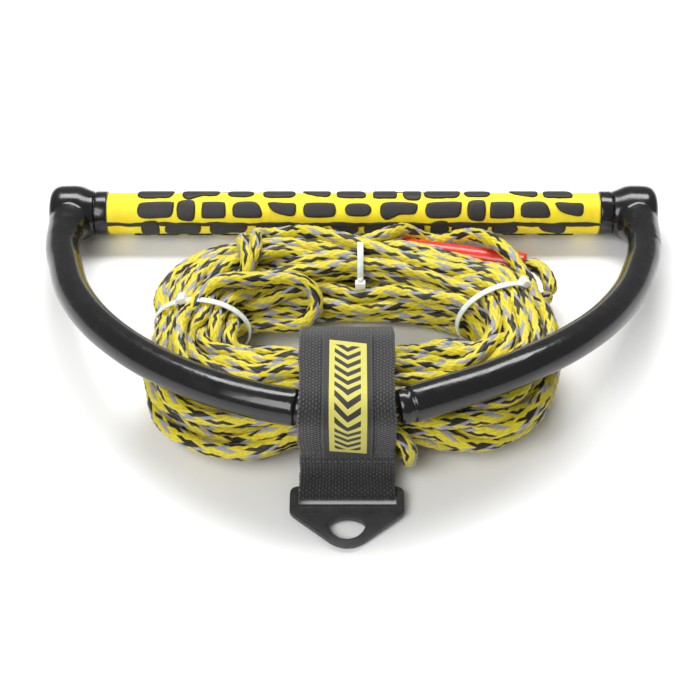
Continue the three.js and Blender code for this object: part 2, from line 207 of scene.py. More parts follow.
def resample(points, step):
    points = np.asarray(points, float)
    run = np.concatenate([[0], np.cumsum(np.linalg.norm(np.diff(points, axis=0), axis=1))])
    at = np.linspace(0, run[-1], max(int(round(run[-1] / step)), 2) + 1)
    return np.column_stack([np.interp(at, run, points[:, k]) for k in range(points.shape[1])])


def spline(points, step):
    """A smooth curve through the points, with new points every step."""
    p = np.asarray(points, float)
    ends = np.vstack([2 * p[0] - p[1], p, 2 * p[-1] - p[-2]])
    t = np.linspace(0, 1, 12, endpoint=False)[:, None]
    spans = []
    for a, b, c, d in zip(ends, ends[1:], ends[2:], ends[3:]):
        spans.append(0.5 * ((2 * b) + (c - a) * t + (2 * a - 5 * b + 4 * c - d) * t ** 2
                            + (3 * b - a - 3 * c + d) * t ** 3))
    return resample(np.vstack(spans + [p[-1:]]), step)


def detour(laps, start, end, points, pin):
    """Replaces the route between two points of the named laps."""
    global route, tied, pinned, free, travelled
    near = [np.flatnonzero(travelled.astype(int) == n) for n in laps]
    pick = lambda index, point: index[np.argmin(np.linalg.norm(route[index] - point, axis=1))]
    first, last = pick(near[0], start), pick(near[-1], end)
    middle = np.linspace(travelled[first], travelled[last], len(points))
    join = lambda a, b: np.concatenate([a[:first], b, a[last:]])
    route, travelled = join(route, points), join(travelled, middle)
    tied = join(tied, np.zeros(len(points), bool))
    pinned = join(pinned, np.broadcast_to(pin, len(points)))
    free = join(free, np.ones(len(points), bool))
    free[max(first - 10, 0):first + len(points) + 10] = True


def hop(lap_number, start, end, psi_start, psi_end):
    """One turn climbs over the bundle between two angles of the oval."""
    psi = np.radians(np.linspace(psi_start, psi_end, 40))
    shares = np.linspace(RING["share"](start), RING["share"](end), 40)
    arc = resample(ring_position(RING, shares, np.cos(psi), np.sin(psi), 0.8 * ROPE), STEP)
    detour([lap_number], arc[0], arc[-1], arc, True)


GUARD_CROSSING = [(99.3, 45.2, 30), (95.3, 54, 33.5), (89.4, 63.6, 34.6), (81.6, 75, 32.5),
                  (70.8, 87.4, 25.5),
                  (57.3, 93, 17), (47, 93, 12)]
# back through the left tie after a hidden fold at the front, then the bight that shows
BIGHT = [(-92, 8, 28), (-84, -14, 29), (-71, -31, 29), (-54, -40, 29), (-36, -43, 31), (-24.5, -55, 34),
         (-33, -69, 36), (-51, -68, 35), (-70, -54, 33), (-85, -34, 33), (-90, -16, 34), (-90, 0, 35.5),
         (-82, 13, 38), (-68, 21, 41),
         (-52, 27.5, 42), (-37, 31.5, 40.5), (-24, 32, 38), (-14.5, 28, 34), (-11.5, 20.5, 29),
         (-17, 14, 24.5),
         (-29, 11.5, 21), (-45, 11.5, 20), (-60, 12.5, 21), (-72, 9, 24), (-80, -2, 28), (-82, -16, 28),
         (-74, -30, 24), (-58, -40, 18), (-40, -48, 13), (-20, -52, 12), (0, -54, 12), (20, -54, 14)]
hop(LAPS - 2, 121, 130, 0, 100)
hop(LAPS - 3, 116, 125, 4, 98)
crossing = spline(GUARD_CROSSING, STEP)
detour([LAPS - 5], crossing[0], crossing[-1], crossing, True)
bight = spline(BIGHT, STEP)
in_fold = np.linalg.norm(bight - (-34, -57, 33), axis=1) < 24
detour([LAPS - 7, LAPS - 6], bight[0], bight[-1], bight, in_fold)
print("route has", len(route), "points and", int(pinned.sum()), "of them are pinned")

# %% [markdown]
# ## Letting the turns settle
# Real turns push each other aside until they lie a diameter apart. The same is done here with
# points: each pass smooths the rope, pushes apart points that are too close, keeps them above
# the floor, inside the bundle's section and clear of the arms, the guard and the centre tie.
# %% Settle the rope
LEADER = [(5.4, -87.4, 48.2), (10.5, -86.6, 45.4), (17.5, -87, 42.2), (24.6, -88.6, 37.4),
          (28.6, -89.2, 30.4), (29.6, -88, 22.6), (29.4, -84.8, 15.6), (29, -80.6, 10.8)]
LOOP = [(-20, 70, 5.4), (-10, 74, 5.6), (-1, 77.6, 7.4), (7, 81.4, 11), (14, 84, 15.2), (21, 84.2, 18.4),
        (29, 82.4, 19.4), (66, 73.4, 20.9), (103, 64.4, 22.4), (109.4, 61.6, 22.6), (114, 56, 22),
        (116, 48, 21.2), (115.6, 40, 20.8)]
BAR_Y, BAR_Z = 117.0, 17.7
TILT = math.atan2(39.8, 203)


def on_handle(x, s, n=0.0):
    """From the handle's own plane, s along the arms and n above it, to the row's frame."""
    return (x, BAR_Y - s * math.cos(TILT) + n * math.sin(TILT),
            BAR_Z + s * math.sin(TILT) + n * math.cos(TILT))


ARM_LINES = {
    -1: [(176.8, 14), (176.8, 26), (175.4, 42), (171.6, 58.6), (161.7, 92), (144.9, 123.8), (122.1, 152),
         (98.3, 173), (73.1, 189.6), (49, 200.6), (29.5, 206.6)],
    1: [(176.8, 14), (176.8, 26), (174.8, 43), (170.6, 61), (159.1, 92.6, 0.4), (140.7, 125.2, 2.4),
        (118.4, 152.4, 4.4), (94.6, 172.4, 4.8), (72, 185.8, 3.4), (50.2, 196.6, 2.6), (29.5, 204.8, 1)]}
ARM_MOUTH = (21.5, 207.3)
ARM_RADIUS = 10.0
arm_route = {side: np.array([on_handle(side * x, s, *n) for x, s, *n in line])
             for side, line in ARM_LINES.items()}

obstacles = [(spline(arm_route[-1], 5), ARM_RADIUS), (spline(arm_route[1], 5), ARM_RADIUS),
             (spline(LEADER, 4), ROPE / 2), (spline(LOOP, 4), ROPE / 2),
             (resample([(22.2, 84, 19.1), (109.8, 62.8, 22.7)], 4), 7.0)]
wall = np.vstack([line for line, _ in obstacles])
wall_radius = np.concatenate([np.full(len(line), radius) for line, radius in obstacles])
TIE_Y = np.array([oval_point(np.radians([tie[0]]))[0, 1] for tie in (LEFT_TIE, RIGHT_TIE)])
TIE_CENTRE = RING["centre"][int(round(RING["share"](89) * 720)) % 720]


def nearest_station(table, points):
    d = ((points[:, None, :2] - (table["centre"][None, ::4, :2])) ** 2).sum(-1)
    return d.argmin(1) * 4


def keep_in_section(points, table, station):
    centre, out = table["centre"][station], table["out"][station]
    u = ((points[:, :2] - centre[:, :2]) * out).sum(1) / (table["wide"][station] - ROPE / 2)
    w = (points[:, 2] - centre[:, 2]) / (table["high"][station] - ROPE / 2)
    far = np.hypot(u, w)
    shrink = np.where(far > 1, 1 / np.maximum(far, 1), 1)
    moved = points.copy()
    moved[:, :2] -= out * ((u * (1 - shrink)) * (table["wide"][station] - ROPE / 2))[:, None]
    moved[:, 2] -= w * (1 - shrink) * (table["high"][station] - ROPE / 2)
    return moved


def close_pairs(points, reach, skip):
    found = []
    for start in range(0, len(points), 400):
        block = points[start:start + 400]
        d2 = ((block[:, None] - points[None]) ** 2).sum(-1)
        i, j = np.nonzero(d2 < reach * reach)
        i += start
        keep = j - i > skip
        found.append(np.column_stack([i[keep], j[keep]]))
    return np.vstack(found)


def pull(points, index, move):
    for k in range(3):
        points[:, k] += np.bincount(index, move[:, k], len(points))


def settle(points, passes):
    points = points.copy()
    home = points.copy()
    rest = np.linalg.norm(np.diff(points, axis=0), axis=1)
    rest = np.convolve(np.pad(rest, 12, mode="edge"), np.ones(25) / 25, "valid").clip(5, 8)[:, None]
    for n in range(passes):
        if n % 8 == 0:
            pairs = close_pairs(points, 15, 3)
            d2 = ((points[:, None] - wall[None]) ** 2).sum(-1)
            near_wall = np.argwhere(d2 < 26 ** 2)
            near_wall = near_wall[(near_wall[:, 0] >= 5) & (near_wall[:, 0] < len(points) - 5)]
            at_side_tie = (abs(points[:, 0]) > 52) & (abs(points[:,
                    1] - TIE_Y[(points[:, 0] > 0).astype(int)]) < 6)
            inner, under = nearest_station(RING, points), nearest_station(RING_UNDER, points)
            squeeze = np.where(tied, np.clip(1 - (abs(points[:, 0] - TIE_CENTRE[0]) - 8) / 24, 0, 1), 0)
            apart = ROPE * (1 - 0.2 * squeeze) * (0.7 + 0.28 * min(1, n / (0.5 * passes)))
        i, j = pairs.T
        gap = points[i] - points[j]
        d = np.linalg.norm(gap, axis=1) + 1e-9
        want = (apart[i] + apart[j]) / 2
        push = np.clip(want - d, 0, 2) * 0.28
        move = gap / d[:, None] * push[:, None]
        pull(points, i, move)
        pull(points, j, -move)
        i, j = near_wall.T
        gap = points[i] - wall[j]
        d = np.linalg.norm(gap, axis=1) + 1e-9
        push = np.clip(wall_radius[j] + ROPE / 2 + 0.2 - d, 0, 2) * 0.5
        pull(points, i, gap / d[:, None] * push[:, None])
        # bending: each point moves towards the curve through its neighbours
        p = points
        bend = p[:-4] - 4 * p[1:-3] + 6 * p[2:-2] - 4 * p[3:-1] + p[4:]
        points[2:-2] -= 0.055 * bend
        # even spacing along the rope
        along = points[1:] - points[:-1]
        length = np.linalg.norm(along, axis=1)[:, None]
        stretch = along / length * (length - rest) * 0.25
        points[:-1] += stretch
        points[1:] -= stretch
        held = ~free | at_side_tie & ~pinned
        kept = np.where(tied[:, None], keep_in_section(points, RING, inner),
                        keep_in_section(points, RING_UNDER, under))
        points[held] += 0.6 * (kept - points)[held]
        # stiff rope springs outwards against whatever holds the coil
        spring = points[:, :2] / np.array([OVAL["a"], OVAL["b"]])
        spring /= np.linalg.norm(spring, axis=1)[:, None] + 1e-9
        beside_tie = (abs(points[:, 0]) > 52) & (abs(points[:, 1]) < 30)
        points[held, :2] += np.where(beside_tie, 0.1, 0.03)[held, None] * spring[held]
        # the centre tie: its own turns stay inside, the others stay outside it
        radial = points[:, 1:] - TIE_CENTRE[1:]
        r = np.linalg.norm(radial, axis=1) + 1e-9
        beside = abs(points[:, 0] - TIE_CENTRE[0]) < 9
        out = beside & ~tied & (r < 21.5)
        points[out, 1:] += (radial / r[:, None] * (21.5 - r)[:, None])[out] * 0.5
        top = beside & ~tied & (points[:, 1] + points[:, 2] > 98)
        points[top, 1:] -= ((points[top, 1] + points[top, 2] - 98) / 2)[:, None] * 0.5
        points[:, 2] = np.maximum(points[:, 2], ROPE / 2 + FLOOR_GAP)
        points[pinned] += 0.5 * (home - points)[pinned]
        points[[0, -1]] = home[[0, -1]]
    # the last kinks are eased so that no bend turns more than 20 degrees from point to point
    for _ in range(200):
        a, b, c = points[:-2], points[1:-1], points[2:]
        before, after = b - a, c - b
        cosine = (before * after).sum(1) / (np.linalg.norm(before, axis=1) * np.linalg.norm(after,
                axis=1) + 1e-9)
        sharp = np.flatnonzero(cosine < math.cos(SHARPEST_TURN))
        if not len(sharp):
            break
        points[sharp + 1] += 0.5 * ((a + c) / 2 - b)[sharp]
        near = np.unique(np.clip(np.concatenate([sharp, sharp + 2]), 1, len(points) - 2))
        points[near] += 0.25 * ((points[near - 1] + points[near + 1]) / 2 - points[near])
    return points


def eased(points, before, end):
    """The rope carries on in the leader's direction before it joins its first turn."""
    before, end = np.array(before), np.array(end)
    ahead = (end - before) / np.linalg.norm(end - before)
    return spline([end, end + ahead * 9, *points[16:24:3]], STEP)


head = eased(route, LEADER[-2], LEADER[-1])
tail = eased(route[::-1], LOOP[-2], LOOP[-1])[::-1]
cut = len(route) - 23
widen = lambda values, a, b: np.concatenate([np.full(len(a), values[0]), values[23:cut],
                                             np.full(len(b), values[-1])])
tied = widen(tied, head, tail)
pinned = widen(pinned, head, tail)
free = widen(free, head, tail)
route = np.vstack([head, route[23:cut], tail])
for end in (slice(0, 2), slice(-2, None)):
    pinned[end] = free[end] = True
settled = settle(route, 260)
run = np.linalg.norm(np.diff(settled, axis=0), axis=1)
pairs = close_pairs(settled, ROPE, 3)
depth = ROPE - np.linalg.norm(settled[pairs[:, 0]] - settled[pairs[:, 1]], axis=1)
print("laid", round(run.sum()), "mm of rope,", len(pairs), "touching pairs, mean overlap",
      round(float(depth.mean()), 2), "mm, deepest", round(float(depth.max()), 2))

# %% [markdown]
# ## Braiding the rope
# The rope is a hollow braid: twelve strands run round it one way and twelve the other, and each
# passes over two and under two. On the surface that is a lattice of small diamonds. A diamond
# is high along the strand that is on top and low where that strand dives, so one tube of quads
# shows the whole braid. Each strand keeps its own yarn colour for the rope's whole length.
# %% The braid as a mesh
STRANDS = 12                # each way
BRAID_PITCH = 80.0          # rope length for one turn of a strand
YARNS_ONE_WAY = [0, 1, 1, 0, 2, 0, 0, 1, 1, 0, 2, 0]      # 0 yellow, 1 black, 2 grey
YARNS_OTHER_WAY = [0, 0, 1, 2, 0, 0, 0, 0, 1, 2, 0, 0]
HIGH, MIDDLE, LOW, CORNER = 0.16, 0.1, -0.42, -0.62


def frames_along(line):
    """Tangent and two normals that don't twist along the line."""
    along = np.gradient(line, axis=0)
    along /= np.linalg.norm(along, axis=1)[:, None]
    normal = np.empty_like(line)
    start = np.cross(along[0], (0, 0, 1.0))
    normal[0] = start / np.linalg.norm(start)
    for i in range(1, len(line)):
        v = normal[i - 1] - along[i] * np.dot(normal[i - 1], along[i])
        normal[i] = v / np.linalg.norm(v)
    return along, normal, np.cross(along, normal)


def braid(name, line, first_ring=0, radius=ROPE / 2, squeeze=None, ends=(True, True)):
    """A braided tube along the line. first_ring keeps the braid in step from piece to piece."""
    step = BRAID_PITCH / (4 * STRANDS)
    smooth = spline(line, step)
    _, normal, side = frames_along(smooth)
    rings, around = len(smooth), 2 * STRANDS
    n = np.arange(rings)[:, None] + first_ring
    m = 2 * np.arange(around)[None, :] + n % 2
    p, q = (m - n) // 2, (m + n) // 2
    i, j = np.floor_divide(p, 2), np.floor_divide(q, 2)
    over = lambda i, j: (i + j) % 4 < 2
    p_odd, q_odd = p % 2 == 1, q % 2 == 1
    lift = np.full(p.shape, CORNER)
    lift[p_odd & q_odd] = HIGH
    same_other = ~over(i, j) & ~over(i - 1, j)
    same_one = over(i, j) & over(i, j - 1)
    lift = np.where(~p_odd & q_odd, np.where(same_other, MIDDLE, LOW), lift)
    lift = np.where(p_odd & ~q_odd, np.where(same_one, MIDDLE, LOW), lift)
    scale = 1.0 if squeeze is None else np.interp(np.linspace(0, 1, rings),
                                                  np.linspace(0, 1, len(squeeze)), squeeze)[:, None]
    r = (radius + lift) * scale
    if ends[0]:
        r[:3] *= np.array([0.35, 0.75, 0.95])[:, None]
    if ends[1]:
        r[-3:] *= np.array([0.95, 0.75, 0.35])[:, None]
    angle = np.pi * m / (2 * STRANDS)
    vertices = (smooth[:, None] + r[..., None] * (np.cos(angle)[..., None] * normal[:, None]
                + np.sin(angle)[..., None] * side[:, None])).reshape(-1, 3)
    ring, k = np.meshgrid(np.arange(rings - 2), np.arange(around), indexing="ij")
    odd = (ring + first_ring) % 2
    left = ring * around + k
    up = (ring + 1) * around + (k + odd) % around
    down = (ring + 1) * around + (k + odd - 1) % around
    right = (ring + 2) * around + k
    quads = np.stack([left, up, right, down], -1).reshape(-1, 4)
    # the diamond whose left corner is (p, q) lies in the cell below p and above q
    p0, q0 = p[:rings - 2], q[:rings - 2]
    ci, cj = np.floor_divide(p0 - 1, 2), np.floor_divide(q0, 2)
    is_one = over(ci, cj)
    yarn = np.where(is_one, np.array(YARNS_ONE_WAY)[ci % STRANDS],
                    np.array(YARNS_OTHER_WAY)[cj % STRANDS]).reshape(-1)
    # corners in the same order as the quad: left, up, right, down
    cp = np.stack([p0, p0, p0 - 1, p0 - 1], -1) / 2
    cq = np.stack([q0, q0 + 1, q0 + 1, q0], -1) / 2
    across = np.where(is_one[..., None], cp - ci[..., None], cq - cj[..., None])
    along = np.where(is_one[..., None], cq, cp) * 3.5
    shift = np.where(is_one, ci % STRANDS, STRANDS + cj % STRANDS)[..., None]
    uv = np.stack([across + 2 * shift, along], -1).reshape(-1, 2)
    # the jagged first and last rings are closed with fans
    cap_faces = []
    low_tip, high_tip = len(vertices), len(vertices) + 1
    vertices = np.vstack([vertices, smooth[:1], smooth[-1:]])
    odd0, odd1 = first_ring % 2, (first_ring + rings - 2) % 2
    for k in range(around):
        a, b = k, (k + 1) % around
        mid = around + (k + odd0) % around
        cap_faces += [(a, b, mid), (low_tip, b, a)]
        a, b = (rings - 1) * around + k, (rings - 1) * around + (k + 1) % around
        mid = (rings - 2) * around + (k + 1 - odd1) % around
        cap_faces += [(b, a, mid), (high_tip, a, b)]
    faces = [tuple(f) for f in quads.tolist()] + cap_faces
    mesh = bpy.data.meshes.new(name)
    mesh.from_pydata((vertices * MM).tolist(), [], faces)
    layer = mesh.uv_layers.new(name="strand")
    flat = np.zeros((len(mesh.loops), 2), np.float32)
    flat[:len(uv)] = uv
    layer.data.foreach_set("uv", flat.ravel())
    materials = np.zeros(len(mesh.polygons), np.int32)
    materials[:len(yarn)] = yarn
    mesh.polygons.foreach_set("material_index", materials)
    mesh.polygons.foreach_set("use_smooth", np.ones(len(mesh.polygons), bool))
    mesh.update()
    obj = bpy.data.objects.new(name, mesh)
    scene.collection.objects.link(obj)
    obj["rings"] = rings
    return obj, smooth


def put_on(obj, *materials):
    for material in materials:
        obj.data.materials.append(material)
    return obj


# %% [markdown]
# ## Materials: helpers
# Every finish is a small node tree. `finish` makes a Principled shader with its constant values
# on the shader's own sockets, and `add` makes one node, so that each finish below reads as a
# short recipe of what the real surface has.
# %% Material helpers
def finish(name, color, roughness, **values):
    material = bpy.data.materials.new(name)
    material.use_nodes = True
    shader = material.node_tree.nodes["Principled BSDF"]
    shader.inputs["Base Color"].default_value = (*color, 1)
    shader.inputs["Roughness"].default_value = roughness
    for key, value in values.items():
        shader.inputs[key.replace("_", " ")].default_value = value
    return material, material.node_tree, shader


def add(tree, kind, inputs=None, **settings):
    node = tree.nodes.new(kind)
    for key, value in settings.items():
        setattr(node, key, value)
    for key, value in (inputs or {}).items():
        if hasattr(value, "links") or hasattr(value, "is_output"):
            tree.links.new(value, node.inputs[key])
        else:
            node.inputs[key].default_value = value
    return node


def place_of(tree, scale=(1, 1, 1), uv=None):
    """Object coordinates in millimetres, or the piece's own UV map, scaled."""
    if uv:
        source = add(tree, "ShaderNodeUVMap", uv_map=uv).outputs["UV"]
        size = scale
    else:
        source = add(tree, "ShaderNodeTexCoord").outputs["Object"]
        size = tuple(1000 * s for s in scale)
    return add(tree, "ShaderNodeMapping", {"Vector": source, "Scale": size}).outputs["Vector"]


def noise(tree, vector, scale, detail=3, roughness=0.5):
    return add(tree, "ShaderNodeTexNoise", {"Vector": vector, "Scale": scale, "Detail": detail,
                                            "Roughness": roughness}).outputs["Fac"]


def spread(tree, value, low, high, to_low=0.0, to_high=1.0):
    return add(tree, "ShaderNodeMapRange", {"Value": value, "From Min": low, "From Max": high,
                                            "To Min": to_low, "To Max": to_high}).outputs["Result"]


def blend_colors(tree, factor, a, b):
    mix = add(tree, "ShaderNodeMix", data_type="RGBA")
    for index, value in ((0, factor), (6, a), (7, b)):
        if hasattr(value, "is_output"):
            tree.links.new(value, mix.inputs[index])
        else:
            mix.inputs[index].default_value = value if index == 0 else (*value, 1)
    return mix.outputs[2]


def bump(tree, shader, height, distance, strength=1.0):
    node = add(tree, "ShaderNodeBump", {"Height": height, "Distance": distance, "Strength": strength})
    tree.links.new(node.outputs["Normal"], shader.inputs["Normal"])
    return node


# %% [markdown]
# ## Yarns
# Each strand is a flat bundle of shiny filaments. Fine lines run along it, and its sides carry painted
# shade, darker where it dives under its neighbours. The strand's own UV map gives both directions:
# U across the strand, V along it.
# %% Yarn materials
def yarn_material(name, color, dark, roughness, sheen):
    material, tree, shader = finish(name, color, roughness, Sheen_Weight=sheen, Sheen_Roughness=0.4)
    fibres = noise(tree, place_of(tree, (9, 0.35, 1), "strand"), 1.0, 3, 0.6)
    patches = noise(tree, place_of(tree, (0.06, 0.06, 0.06)), 1.0, 2)
    uv = add(tree, "ShaderNodeUVMap", uv_map="strand").outputs["UV"]
    across = add(tree, "ShaderNodeSeparateXYZ", {"Vector": uv}).outputs["X"]
    unit = add(tree, "ShaderNodeMath", {0: across, 1: 1.0}, operation="FLOORED_MODULO").outputs["Value"]
    off = add(tree, "ShaderNodeMath", {0: unit, 1: 0.5}, operation="SUBTRACT").outputs["Value"]
    side = add(tree, "ShaderNodeMath", {0: off}, operation="ABSOLUTE").outputs["Value"]
    # painted shade: the strand's sides, where it dives under its neighbours, are blended towards the dark colour;
    # the fine fibre lines are the yarn's own texture
    edge = spread(tree, side, 0.34, 0.5)
    fibre_lines_and_side_shade = add(tree, "ShaderNodeMath", {0: spread(tree, fibres, 0.62, 0.35), 1: edge}, operation="MAXIMUM",
                use_clamp=True).outputs["Value"]
    base = blend_colors(tree, spread(tree, patches, 0.35, 0.65), color, tuple(c * 0.9 for c in color))
    tree.links.new(blend_colors(tree, fibre_lines_and_side_shade, base, dark), shader.inputs["Base Color"])
    height = add(tree, "ShaderNodeMath", {0: fibres, 1: edge}, operation="SUBTRACT").outputs["Value"]
    bump(tree, shader, height, 0.00025, 0.7)
    return material


# the second colour serves the yarn's fibre lines and the painted shade on its sides
YELLOW_YARN = yarn_material("yellow_yarn", (0.87, 0.77, 0.02), (0.5, 0.38, 0.005), 0.42, 0.25)
BLACK_YARN = yarn_material("black_yarn", (0.016, 0.016, 0.018), (0.004, 0.004, 0.005), 0.4, 0.15)
GREY_YARN = yarn_material("grey_yarn", (0.42, 0.42, 0.5), (0.2, 0.2, 0.25), 0.42, 0.25)
YARNS = (YELLOW_YARN, BLACK_YARN, GREY_YARN)
print("yarns:", [m.name for m in YARNS])

# %% [markdown]
# ## The rope pieces
# The coil's rope is meshed in three lengths, each ending where the next begins, because
# one mesh of the whole braid would be too heavy to keep. The leader runs from the knot between
# the arms into the coil, and the tow loop comes out at the back, through the red guard.
# %% Rope pieces
def squeeze_along(line):
    """The rope is pinched thinner where the centre tie holds it."""
    return 1 - 0.15 * np.clip(1 - (abs(line[:, 0] - TIE_CENTRE[0]) - 8) / 24, 0, 1)


cuts = [int(len(settled) * k / 3) for k in range(4)]
cuts[-1] = len(settled) - 1
hank_pieces, rings_so_far = [], 0
for n, letter in enumerate("abc"):
    part = slice(cuts[n], cuts[n + 1] + 1)
    line = settled[part]
    thin = np.where(tied[part], squeeze_along(line), 1.0)
    piece, middle = braid("hank_rope_" + letter, line, rings_so_far, squeeze=thin, ends=(n == 0, n == 2))
    rings_so_far += piece["rings"] - 1
    put_on(piece, *YARNS)
    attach(piece, "handle_pack")
    hank_pieces.append((piece, middle))
    print(piece.name, len(piece.data.polygons) * 2, "triangles")
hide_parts("rope_hank")


leader, leader_middle = braid("leader_rope_braid", np.array(LEADER))
loop, loop_middle = braid("tow_loop_braid", np.array(LOOP))
for piece, node in ((leader, "leader_rope"), (loop, "tow_loop_rope")):
    put_on(piece, *YARNS)
    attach(piece, "handle_pack")
    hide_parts(node)

# %% [markdown]
# ## The bridle rope and its knot
# A thinner view of the same braid comes out of both arms' mouths. It meets in a knot under the
# strap, made here as a rope that winds tightly round itself.
# %% Bridle rope and knot
KNOT_S = 209.4
for side, word in ((-1, "left"), (1, "right")):
    line = np.array([on_handle(side * x, s) for x, s in
                     ((3, KNOT_S + 0.3), (9, KNOT_S), (14, KNOT_S - 0.6), (21.5, 207.3), (27, 205.6),
                      (33, 203.6))])
    bridle, _ = braid("bridle_rope_" + word, line, radius=4.15)
    put_on(bridle, *YARNS)
    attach(bridle, "handle_pack")
    if side < 0:
        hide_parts("bridle_rope")
knot_line = []
for k in range(61):
    angle = 2 * math.pi * k / 60 * 2.1
    x = -6.2 + 12.4 * k / 60
    knot_line.append(on_handle(x, KNOT_S + 3.3 * math.cos(angle), 3.3 * math.sin(angle)))
knot, _ = braid("bridle_knot_wraps", np.array(knot_line), radius=3.7)
put_on(knot, *YARNS)
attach(knot, "handle_pack")
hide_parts("bridle_knot")

# %% [markdown]
# ## Shapes that the pieces below share
# A lathe turns a profile round the bar's axis, a tube follows a line with its own radius at each
# point, and a band is a flat strip that follows a line in the side view. All three close their
# ends, so every piece is a closed body with its faces outward.
# %% Shape helpers
def make_object(name, vertices, faces, uv=None, smooth=True):
    mesh = bpy.data.meshes.new(name)
    mesh.from_pydata([tuple(float(c) * MM for c in v) for v in vertices], [], faces)
    if uv is not None:
        layer = mesh.uv_layers.new(name="cloth")
        layer.data.foreach_set("uv", np.asarray(uv, np.float32).ravel())
    mesh.polygons.foreach_set("use_smooth", [smooth] * len(mesh.polygons))
    mesh.update()
    obj = bpy.data.objects.new(name, mesh)
    scene.collection.objects.link(obj)
    return obj


def grid_faces(rows, columns, close_rows=False, close_columns=False):
    faces = []
    for i in range(rows if close_rows else rows - 1):
        for j in range(columns if close_columns else columns - 1):
            a, b = i * columns, ((i + 1) % rows) * columns
            faces.append((a + j, a + (j + 1) % columns, b + (j + 1) % columns, b + j))
    return faces


def fix_normals(obj):
    work = bmesh.new()
    work.from_mesh(obj.data)
    bmesh.ops.remove_doubles(work, verts=work.verts, dist=1e-6)
    bmesh.ops.recalc_face_normals(work, faces=work.faces)
    work.to_mesh(obj.data)
    work.free()
    return obj


def lathe(name, profile, segments=64, closed=False):
    """Profile points are (radius, x); they turn round the bar's axis."""
    vertices = []
    for radius, x in profile:
        for k in range(segments):
            angle = 2 * math.pi * k / segments
            vertices.append((x, BAR_Y + radius * math.cos(angle), BAR_Z + radius * math.sin(angle)))
    faces = grid_faces(len(profile), segments, closed, True)
    if not closed:
        faces += [tuple(range(segments)), tuple(range(len(vertices) - segments, len(vertices)))]
    return fix_normals(make_object(name, vertices, faces))


def tube(name, line, radii, sides=32):
    line = np.asarray(line, float)
    _, normal, side = frames_along(line)
    radii = np.broadcast_to(radii, len(line))
    angle = 2 * np.pi * np.arange(sides) / sides
    ring = np.cos(angle)[:, None] * normal[:, None] + np.sin(angle)[:, None] * side[:, None]
    vertices = (line[:, None] + ring * np.asarray(radii)[:, None, None]).reshape(-1, 3)
    faces = grid_faces(len(line), sides, False, True)
    faces += [tuple(range(sides)), tuple(range(len(vertices) - sides, len(vertices)))]
    return fix_normals(make_object(name, vertices, faces))


def baked(obj):
    """Turns an object's modifiers into its mesh."""
    bpy.context.view_layer.update()
    mesh = bpy.data.meshes.new_from_object(obj.evaluated_get(bpy.context.evaluated_depsgraph_get()))
    obj.modifiers.clear()
    obj.data = mesh
    mesh.polygons.foreach_set("use_smooth", [True] * len(mesh.polygons))
    return obj


def joined(first, *others):
    work = bmesh.new()
    for obj in (first, *others):
        work.from_mesh(obj.data)
    work.to_mesh(first.data)
    work.free()
    for obj in others:
        bpy.data.objects.remove(obj)
    first.data.polygons.foreach_set("use_smooth", [True] * len(first.data.polygons))
    return first


def mount(obj, body, slot_name, material, *nodes):
    if material:
        obj.data.materials.clear()
        obj.data.materials.append(material)
    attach(obj, body)
    if nodes:
        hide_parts(*nodes)
    print(obj.name, len(obj.data.polygons), "faces")
    return obj


# %% [markdown]
# ## Two Geometry Nodes trees
# Raised pads, stitches and the teeth of a cable tie all repeat one small shape. The first tree
# walks along a line at a set spacing and turns the shape to follow it. The second one sets a
# shape at each given point and turns it round the bar's axis.
# %% Geometry Nodes trees
def open_tree(name, inputs):
    tree = bpy.data.node_groups.new(name, "GeometryNodeTree")
    tree.interface.new_socket("Geometry", in_out="OUTPUT", socket_type="NodeSocketGeometry")
    for label, kind in inputs:
        tree.interface.new_socket(label, in_out="INPUT", socket_type="NodeSocket" + kind)
    return tree, tree.nodes.new("NodeGroupInput").outputs


def close_tree(tree, instances, material):
    real = add(tree, "GeometryNodeRealizeInstances", {"Geometry": instances}).outputs["Geometry"]
    done = add(tree, "GeometryNodeSetMaterial", {"Geometry": real, "Material": material}).outputs["Geometry"]
    tree.links.new(done, tree.nodes.new("NodeGroupOutput").inputs["Geometry"])
    return tree


def follow_line_tree():
    tree, given = open_tree("follow_line",
                            [("Geometry", "Geometry"), ("Shape", "Object"), ("Spacing", "Float"),
                                            ("Size", "Vector"), ("Finish", "Material")])
    curve = add(tree, "GeometryNodeMeshToCurve", {"Mesh": given["Geometry"]}).outputs["Curve"]
    even = add(tree, "GeometryNodeResampleCurve", {"Curve": curve, "Length": given["Spacing"]}, mode="LENGTH")
    tangent = add(tree, "GeometryNodeInputTangent").outputs["Tangent"]
    up = add(tree, "GeometryNodeInputNamedAttribute", {"Name": "up"},
             data_type="FLOAT_VECTOR").outputs["Attribute"]
    turn = add(tree, "FunctionNodeAlignRotationToVector", {"Vector": tangent}, axis="X").outputs["Rotation"]
    turn = add(tree, "FunctionNodeAlignRotationToVector", {"Rotation": turn, "Vector": up}, axis="Z",
               pivot_axis="X").outputs["Rotation"]
    shape = add(tree, "GeometryNodeObjectInfo", {"Object": given["Shape"]}).outputs["Geometry"]
    placed = add(tree, "GeometryNodeInstanceOnPoints", {"Points": even.outputs["Curve"], "Instance": shape,
                                                        "Rotation": turn, "Scale": given["Size"]})
    return close_tree(tree, placed.outputs["Instances"], given["Finish"])


def round_bar_tree():
    tree, given = open_tree("round_the_bar",
                            [("Geometry", "Geometry"), ("Shape", "Object"), ("Finish", "Material")])
    turn = add(tree, "GeometryNodeInputNamedAttribute", {"Name": "turn"},
               data_type="FLOAT_VECTOR").outputs["Attribute"]
    rotation = add(tree, "FunctionNodeEulerToRotation", {"Euler": turn}).outputs["Rotation"]
    shape = add(tree, "GeometryNodeObjectInfo", {"Object": given["Shape"]}).outputs["Geometry"]
    placed = add(tree, "GeometryNodeInstanceOnPoints", {"Points": given["Geometry"], "Instance": shape,
                                                        "Rotation": rotation})
    return close_tree(tree, placed.outputs["Instances"], given["Finish"])


FOLLOW_LINE, ROUND_BAR = follow_line_tree(), round_bar_tree()


